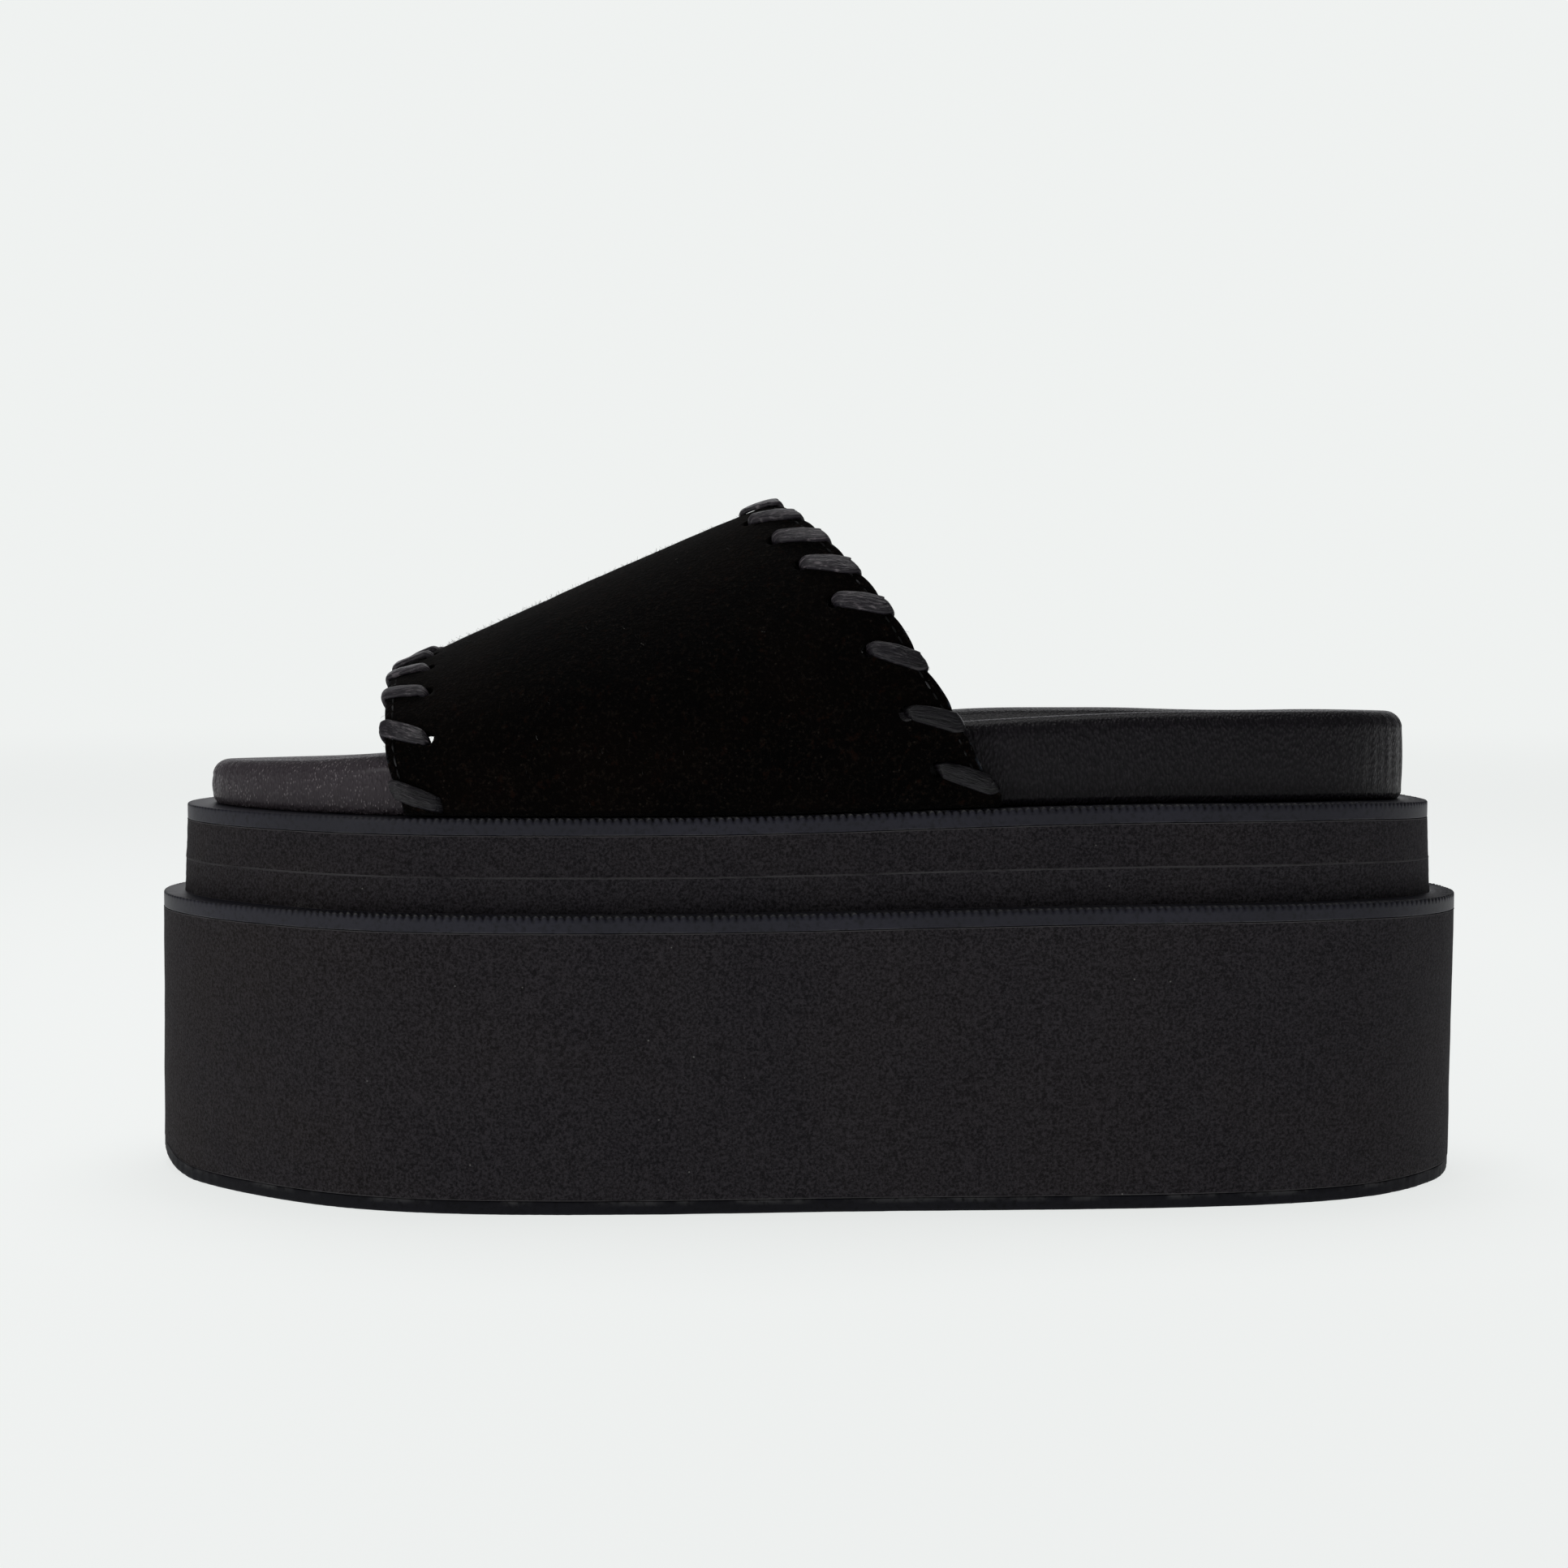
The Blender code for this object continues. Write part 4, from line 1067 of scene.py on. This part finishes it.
class Nodes:
    """A node tree and short ways to add to it."""

    def __init__(self, tree):
        self.tree = tree

    def put(self, socket, value):
        """Link a socket's value, or set it where it is a constant."""
        if isinstance(value, bpy.types.NodeSocket):
            self.tree.links.new(value, socket)
        else:
            socket.default_value = value

    def node(self, kind, inputs=None, **settings):
        made = self.tree.nodes.new("ShaderNode" + kind)
        for name, value in settings.items():
            setattr(made, name, value)
        for key, value in (inputs or {}).items():
            self.put(made.inputs[key], value)
        return made

    def ramp(self, value, low, high):
        """Smooth step from 0 at low to 1 at high."""
        return self.node("MapRange", {"Value": value, "From Min": low, "From Max": high},
                         interpolation_type="SMOOTHSTEP").outputs["Result"]

    def spread(self, value, low, high, start=0.0, end=1.0):
        """Straight line from low at start to high at end."""
        return self.node("MapRange", {"Value": value, "From Min": start, "From Max": end,
                                      "To Min": low, "To Max": high}).outputs["Result"]

    def times(self, a, b):
        return self.node("Math", {0: a, 1: b}, operation="MULTIPLY").outputs[0]

    def axis(self, where, name):
        return self.node("SeparateXYZ", {0: where}).outputs[name]

    def blend(self, share, a, b):
        made = self.node("Mix", data_type="RGBA", clamp_factor=True)
        sockets = [made.inputs["Factor"]] + [i for i in made.inputs if i.type == "RGBA"]
        for socket, value in zip(sockets, (share, a, b)):
            self.put(socket, (*value, 1.0) if isinstance(value, tuple) else value)
        return next(o for o in made.outputs if o.type == "RGBA")


class Look(Nodes):
    """A material that is painted one layer over another."""

    def __init__(self, name, **constants):
        self.material = bpy.data.materials.new(name)
        self.material.use_nodes = True
        super().__init__(self.material.node_tree)
        self.shader = self.tree.nodes["Principled BSDF"].inputs
        for key, value in constants.items():
            self.shader[key.replace("_", " ")].default_value = value
        self.where = self.node("TexCoord").outputs["Object"]
        self.colour = None
        self.normal = None

    def noise(self, size, detail=3.0, rough=0.55, where=None, stretch=(1.0, 1.0, 1.0)):
        """Noise with features of about that size in metres, from 0 to 1."""
        where = self.where if where is None else where
        scaled = self.node("Mapping", {"Vector": where, "Scale": stretch})
        return self.node("TexNoise", {"Vector": scaled.outputs[0], "Scale": 0.5 / size,
                                      "Detail": detail, "Roughness": rough}).outputs["Fac"]

    def patches(self, size, low, high, detail=3.0, rough=0.55):
        return self.ramp(self.noise(size, detail, rough), low, high)

    def specks(self, spacing, size, share):
        """Sparse tiny dots: 1 on a dot, 0 elsewhere."""
        cells = self.node("TexVoronoi", {"Vector": self.where, "Scale": 1.0 / spacing})
        dot = self.ramp(cells.outputs["Distance"], size / spacing, 0.6 * size / spacing)
        chosen = self.ramp(cells.outputs["Color"], 1.0 - share, 1.0 - share + 0.02)
        return self.times(dot, chosen)

    def mark(self, name):
        return self.node("Attribute", attribute_name=name).outputs["Fac"]

    def paint(self, share, colour, part=None):
        """Lay a colour over what is there by a share, or by a part of that share."""
        if part is not None:
            share = self.times(share, part)
        self.colour = self.blend(share, self.colour, colour)

    def bump(self, height, depth, strength):
        inputs = {"Height": height, "Distance": depth, "Strength": strength}
        if self.normal is not None:
            inputs["Normal"] = self.normal
        self.normal = self.node("Bump", inputs).outputs["Normal"]

    def done(self, roughness=None):
        for key, value in (("Base Color", self.colour), ("Roughness", roughness),
                           ("Normal", self.normal)):
            if value is not None:
                self.put(self.shader[key], value)
        return self.material


def tinted(colour, share):
    return tuple(share * c for c in colour)


def foam_material(name, dark, light, warm, dusty):
    look = Look(name, Specular_IOR_Level=0.08, Sheen_Weight=0.03, Sheen_Roughness=0.6)
    patch = look.noise(0.022)
    grain = look.noise(0.00029, 2.5, 0.8)
    look.colour = look.blend(look.patches(0.010, 0.36, 0.64, 4.0), dark, light)
    look.paint(look.ramp(patch, 0.45, 0.70), warm, 0.55)
    toe_end = look.ramp(look.axis(look.where, "X"), -0.055, -0.125)
    look.paint(toe_end, (0.0200, 0.0140, 0.0112), look.ramp(patch, 0.30, 0.62))
    look.paint(0.66, look.blend(look.ramp(grain, 0.34, 0.66), tinted(dark, 0.20),
                                tinted(light, 2.4)))
    dust = look.times(look.mark("dust"), look.patches(0.0045, 0.46, 0.72))
    look.paint(look.times(dust, look.ramp(grain, 0.42, 0.62)), (0.11, 0.105, 0.10), dusty)
    parting = look.times(look.mark("joint"), look.patches(0.006, 0.22, 0.48))
    look.paint(parting, (0.080, 0.076, 0.080), 0.85)
    look.paint(look.specks(0.0050, 0.00020, 0.40), (0.16, 0.155, 0.15))
    look.bump(grain, 0.00030, 0.9)
    look.bump(look.noise(0.0016, 2.0), 0.00022, 0.5)
    return look.done(look.spread(grain, 0.72, 0.95))


def rubber_material(name, base, roughness, gloss):
    look = Look(name, Specular_IOR_Level=gloss)
    cloud = look.noise(0.02)
    fine = look.noise(0.0005)
    look.colour = look.blend(look.ramp(cloud, 0.3, 0.7), tinted(base, 0.85), tinted(base, 1.18))
    joint = look.times(look.mark("joint"), look.patches(0.005, 0.42, 0.60))
    look.paint(joint, (0.085, 0.083, 0.085), 0.55)
    look.colour = look.blend(look.ramp(fine, 0.25, 0.55), tinted(base, 0.5), look.colour)
    # Painted highlight on the knurl's tops, with some wear, then painted shade in its notches.
    painted_highlight = look.times(look.mark("tip"), look.patches(0.0012, 0.34, 0.60, 2.0))
    look.paint(painted_highlight, (0.100, 0.098, 0.094), 0.8)
    look.paint(look.mark("dip"), (0.002, 0.002, 0.003), 0.8)
    look.paint(look.specks(0.0048, 0.00012, 0.30), (0.20, 0.20, 0.20))
    look.bump(fine, 0.00006, 0.6)
    return look.done(look.spread(cloud, roughness - 0.06, roughness + 0.10))


def leather_material():
    look = Look("footbed_leather", Specular_IOR_Level=0.12, Coat_Weight=0.12,
                Coat_Roughness=0.24)
    offset = look.node("VectorMath", {0: look.noise(0.0012, 2.0), 1: (0.0006, 0.0006, 0.0006)},
                       operation="MULTIPLY")
    shift = look.node("VectorMath", {0: look.where, 1: offset.outputs[0]}, operation="ADD")
    turned = look.node("Mapping", {"Vector": shift.outputs[0], "Rotation": (0.0, 0.35, 0.0),
                                   "Scale": (1.35, 1.35, 0.66)})
    pebble = look.node("TexVoronoi", {"Vector": turned.outputs[0], "Scale": 1.0 / 0.00066,
                                      "Smoothness": 0.7},
                       feature="SMOOTH_F1").outputs["Distance"]
    fine = look.noise(0.00022)
    look.colour = look.blend(look.patches(0.018, 0.3, 0.7), (0.0090, 0.0072, 0.0100),
                             (0.0135, 0.0110, 0.0150))
    look.paint(look.ramp(pebble, 0.35, 0.62), (0.0035, 0.0030, 0.0045), 0.85)
    # Painted sheen and glints: the leather is made lighter towards the toe, with painted glints
    # on the pebble tops there.
    painted_toe_sheen = look.spread(look.ramp(look.axis(look.where, "X"), -0.045, -0.085), 0.03, 0.80)
    look.paint(painted_toe_sheen, (0.138, 0.115, 0.130), 0.5)
    painted_glint = look.times(look.ramp(pebble, 0.34, 0.10), painted_toe_sheen)
    painted_glint = look.times(painted_glint, look.ramp(fine, 0.34, 0.56))
    look.paint(painted_glint, (0.400, 0.355, 0.370), look.patches(0.0028, 0.34, 0.58, 3.0, 0.6))
    # Painted highlight line along the top of the rim.
    look.paint(look.mark("rim"), (0.120, 0.112, 0.128), 0.55)
    look.bump(look.times(pebble, -1.0), 0.00045, 0.95)
    look.bump(fine, 0.00010, 0.6)
    return look.done(look.spread(pebble, 0.28, 0.62, 0.1, 0.6))


def suede_material():
    look = Look("strap_suede", Specular_IOR_Level=0.03, Roughness=0.95, Sheen_Weight=0.030,
                Sheen_Roughness=0.45)
    nap = look.noise(0.00045, 3.0, 0.75)
    look.colour = look.blend(look.patches(0.012, 0.36, 0.68, 4.0), (0.0008, 0.0006, 0.0006),
                             (0.0022, 0.0013, 0.0010))
    look.paint(look.ramp(nap, 0.50, 0.74), (0.0110, 0.0080, 0.0062))
    look.paint(look.patches(0.0011, 0.58, 0.72, 3.0, 0.7), (0.0120, 0.0050, 0.0030), 0.6)
    dots = look.times(look.specks(0.0011, 0.00026, 0.45), look.ramp(nap, 0.40, 0.62))
    look.paint(dots, (0.0240, 0.0190, 0.0155), 0.7)
    raw = look.times(look.mark("raw"), look.patches(0.0008, 0.50, 0.68))
    look.paint(raw, (0.060, 0.072, 0.092), 0.8)
    look.bump(nap, 0.00045, 0.9)
    look.bump(look.noise(0.0030, 2.0), 0.0004, 0.4)
    return look.done()


def lace_material():
    look = Look("lace_leather", Specular_IOR_Level=0.16, Coat_Weight=0.30, Coat_Roughness=0.18)
    at = look.node("CombineXYZ", {"X": look.mark("run"), "Y": look.mark("band")}).outputs[0]
    streak = look.noise(0.00030, 3.0, 0.65, at, (0.13, 1.0, 1.0))
    look.colour = look.blend(look.ramp(streak, 0.36, 0.62), (0.0012, 0.0010, 0.0014),
                             (0.0080, 0.0066, 0.0092))
    look.paint(look.patches(0.006, 0.45, 0.75, 2.0), (0.012, 0.011, 0.015), 0.5)
    # Painted light from above: the higher and further forward the lace lies, the lighter it is
    # made, with painted glints along its creases.
    back = look.times(look.axis(look.where, "X"), 0.25)
    raised = look.node("Math", {0: look.axis(look.where, "Z"), 1: back}, operation="SUBTRACT")
    painted_highlight = look.ramp(raised.outputs[0], 0.095, 0.124)
    look.paint(painted_highlight, (0.037, 0.032, 0.040), 0.6)
    crease = look.noise(0.00024, 3.0, 0.6, at, (0.20, 1.0, 1.0))
    look.paint(painted_highlight, (0.200, 0.175, 0.190), look.ramp(crease, 0.50, 0.72))
    look.bump(streak, 0.00040, 1.0)
    look.bump(look.noise(0.00025, 2.0), 0.00010, 0.7)
    look.put(look.shader["Coat Normal"], look.normal)
    return look.done(look.spread(streak, 0.36, 0.60))


def thread_material(name, dark, light, size):
    look = Look(name, Roughness=0.8, Specular_IOR_Level=0.2)
    look.colour = look.blend(look.patches(size, 0.45, 0.65, 2.0), dark, light)
    return look.done()


def make_materials():
    return {
        "outsole_rubber": rubber_material("outsole_rubber", (0.0070, 0.0068, 0.0100), 0.60, 0.12),
        "tier_rubber": rubber_material("tier_rubber", (0.0190, 0.0185, 0.0280), 0.46, 0.24),
        "tier_foam": foam_material("tier_foam", (0.0140, 0.0122, 0.0155),
                                   (0.0205, 0.0182, 0.0208), (0.0225, 0.0175, 0.0170), 0.3),
        "riser_foam": foam_material("riser_foam", (0.0160, 0.0142, 0.0182),
                                    (0.0235, 0.0212, 0.0242), (0.0245, 0.0200, 0.0200), 1.0),
        "footbed_leather": leather_material(),
        "strap_suede": suede_material(),
        "lace_leather": lace_material(),
        "thread": thread_material("edge_thread", (0.006, 0.006, 0.006),
                                  (0.050, 0.050, 0.052), 0.0012),
        "nap": thread_material("nap_fibre", (0.004, 0.0035, 0.0035),
                               (0.018, 0.015, 0.013), 0.006),
        "lint": thread_material("lint_fibre", (0.05, 0.05, 0.05), (0.22, 0.21, 0.20), 0.01),
    }


# Studio


def make_camera():
    data = bpy.data.cameras.new("camera")
    camera = new_object("camera", data)
    camera.location = CAMERA_PLACE
    camera.rotation_euler = (math.radians(90.0 - CAMERA_TILT), 0.0, 0.0)
    data.sensor_fit = "HORIZONTAL"
    data.sensor_width = SENSOR
    data.lens = SENSOR * FOCAL_PIXELS / PHOTO_SIZE
    data.clip_start = 0.01
    bpy.context.scene.camera = camera


def make_floor():
    """Round floor that fades into the backdrop's colour away from the sandal."""
    look = Look("studio_floor", Roughness=0.9, Specular_IOR_Level=0.0)
    away = look.node("VectorMath", {0: look.where}, operation="LENGTH").outputs["Value"]
    far = look.ramp(away, FLOOR_NEAR, FLOOR_FAR)
    look.colour = look.blend(far, FLOOR_COLOUR, (0.0, 0.0, 0.0))
    brightest = max(BACKDROP)
    look.shader["Emission Color"].default_value = (*(c / brightest for c in BACKDROP), 1.0)
    look.put(look.shader["Emission Strength"], look.spread(far, FLOOR_GLOW, brightest))
    turns = [2.0 * math.pi * k / FLOOR_SIDES for k in range(FLOOR_SIDES)]
    mesh = bpy.data.meshes.new("floor")
    mesh.from_pydata([(FLOOR_RADIUS * math.cos(a), FLOOR_RADIUS * math.sin(a), 0.0)
                      for a in turns], [], [list(range(FLOOR_SIDES))])
    mesh.materials.append(look.done())
    floor = new_object("floor", mesh)


def make_world():
    """The camera sees the backdrop's flat colour; the light comes mostly from behind."""
    world = bpy.data.worlds.new("studio")
    world.use_nodes = True
    bpy.context.scene.world = world
    sky = Nodes(world.node_tree)
    seen = sky.tree.nodes["Background"]
    seen.inputs["Color"].default_value = (*BACKDROP, 1.0)
    behind = sky.ramp(sky.axis(sky.node("TexCoord").outputs["Generated"], "Y"), *LIGHT_TURN)
    lit = sky.node("Background", {"Color": (0.97, 0.98, 1.0, 1.0),
                                  "Strength": sky.spread(behind, LIGHT_FRONT, LIGHT_BACK)})
    both = sky.node("MixShader", {0: sky.node("LightPath").outputs["Is Camera Ray"],
                                  1: lit.outputs[0], 2: seen.outputs[0]})
    sky.put(sky.tree.nodes["World Output"].inputs["Surface"], both.outputs[0])


def softbox(name, place, aim, size, power):
    light = bpy.data.lights.new(name, "AREA")
    light.shape = "RECTANGLE"
    light.size, light.size_y = size
    light.energy = power
    obj = new_object(name, light)
    obj.location = place
    obj.rotation_euler = (Vector(aim) - Vector(place)).to_track_quat("-Z", "Y").to_euler()


def make_studio():
    view = bpy.context.scene.view_settings
    view.view_transform = "Standard"
    view.look = "None"
    make_camera()
    make_floor()
    make_world()
    for values in SOFTBOXES:
        softbox(*values)


make_studio()
looks = make_materials()
make_platform(looks)
make_footbed(looks["footbed_leather"])
make_strap(looks["strap_suede"])
make_lace("front_lace", FRONT, looks["lace_leather"])
make_lace("rear_lace", REAR, looks["lace_leather"])
make_stitching(looks["thread"])
make_fibres("suede_nap", looks["nap"], *NAP)
make_fibres("lint", looks["lint"], *LINT)
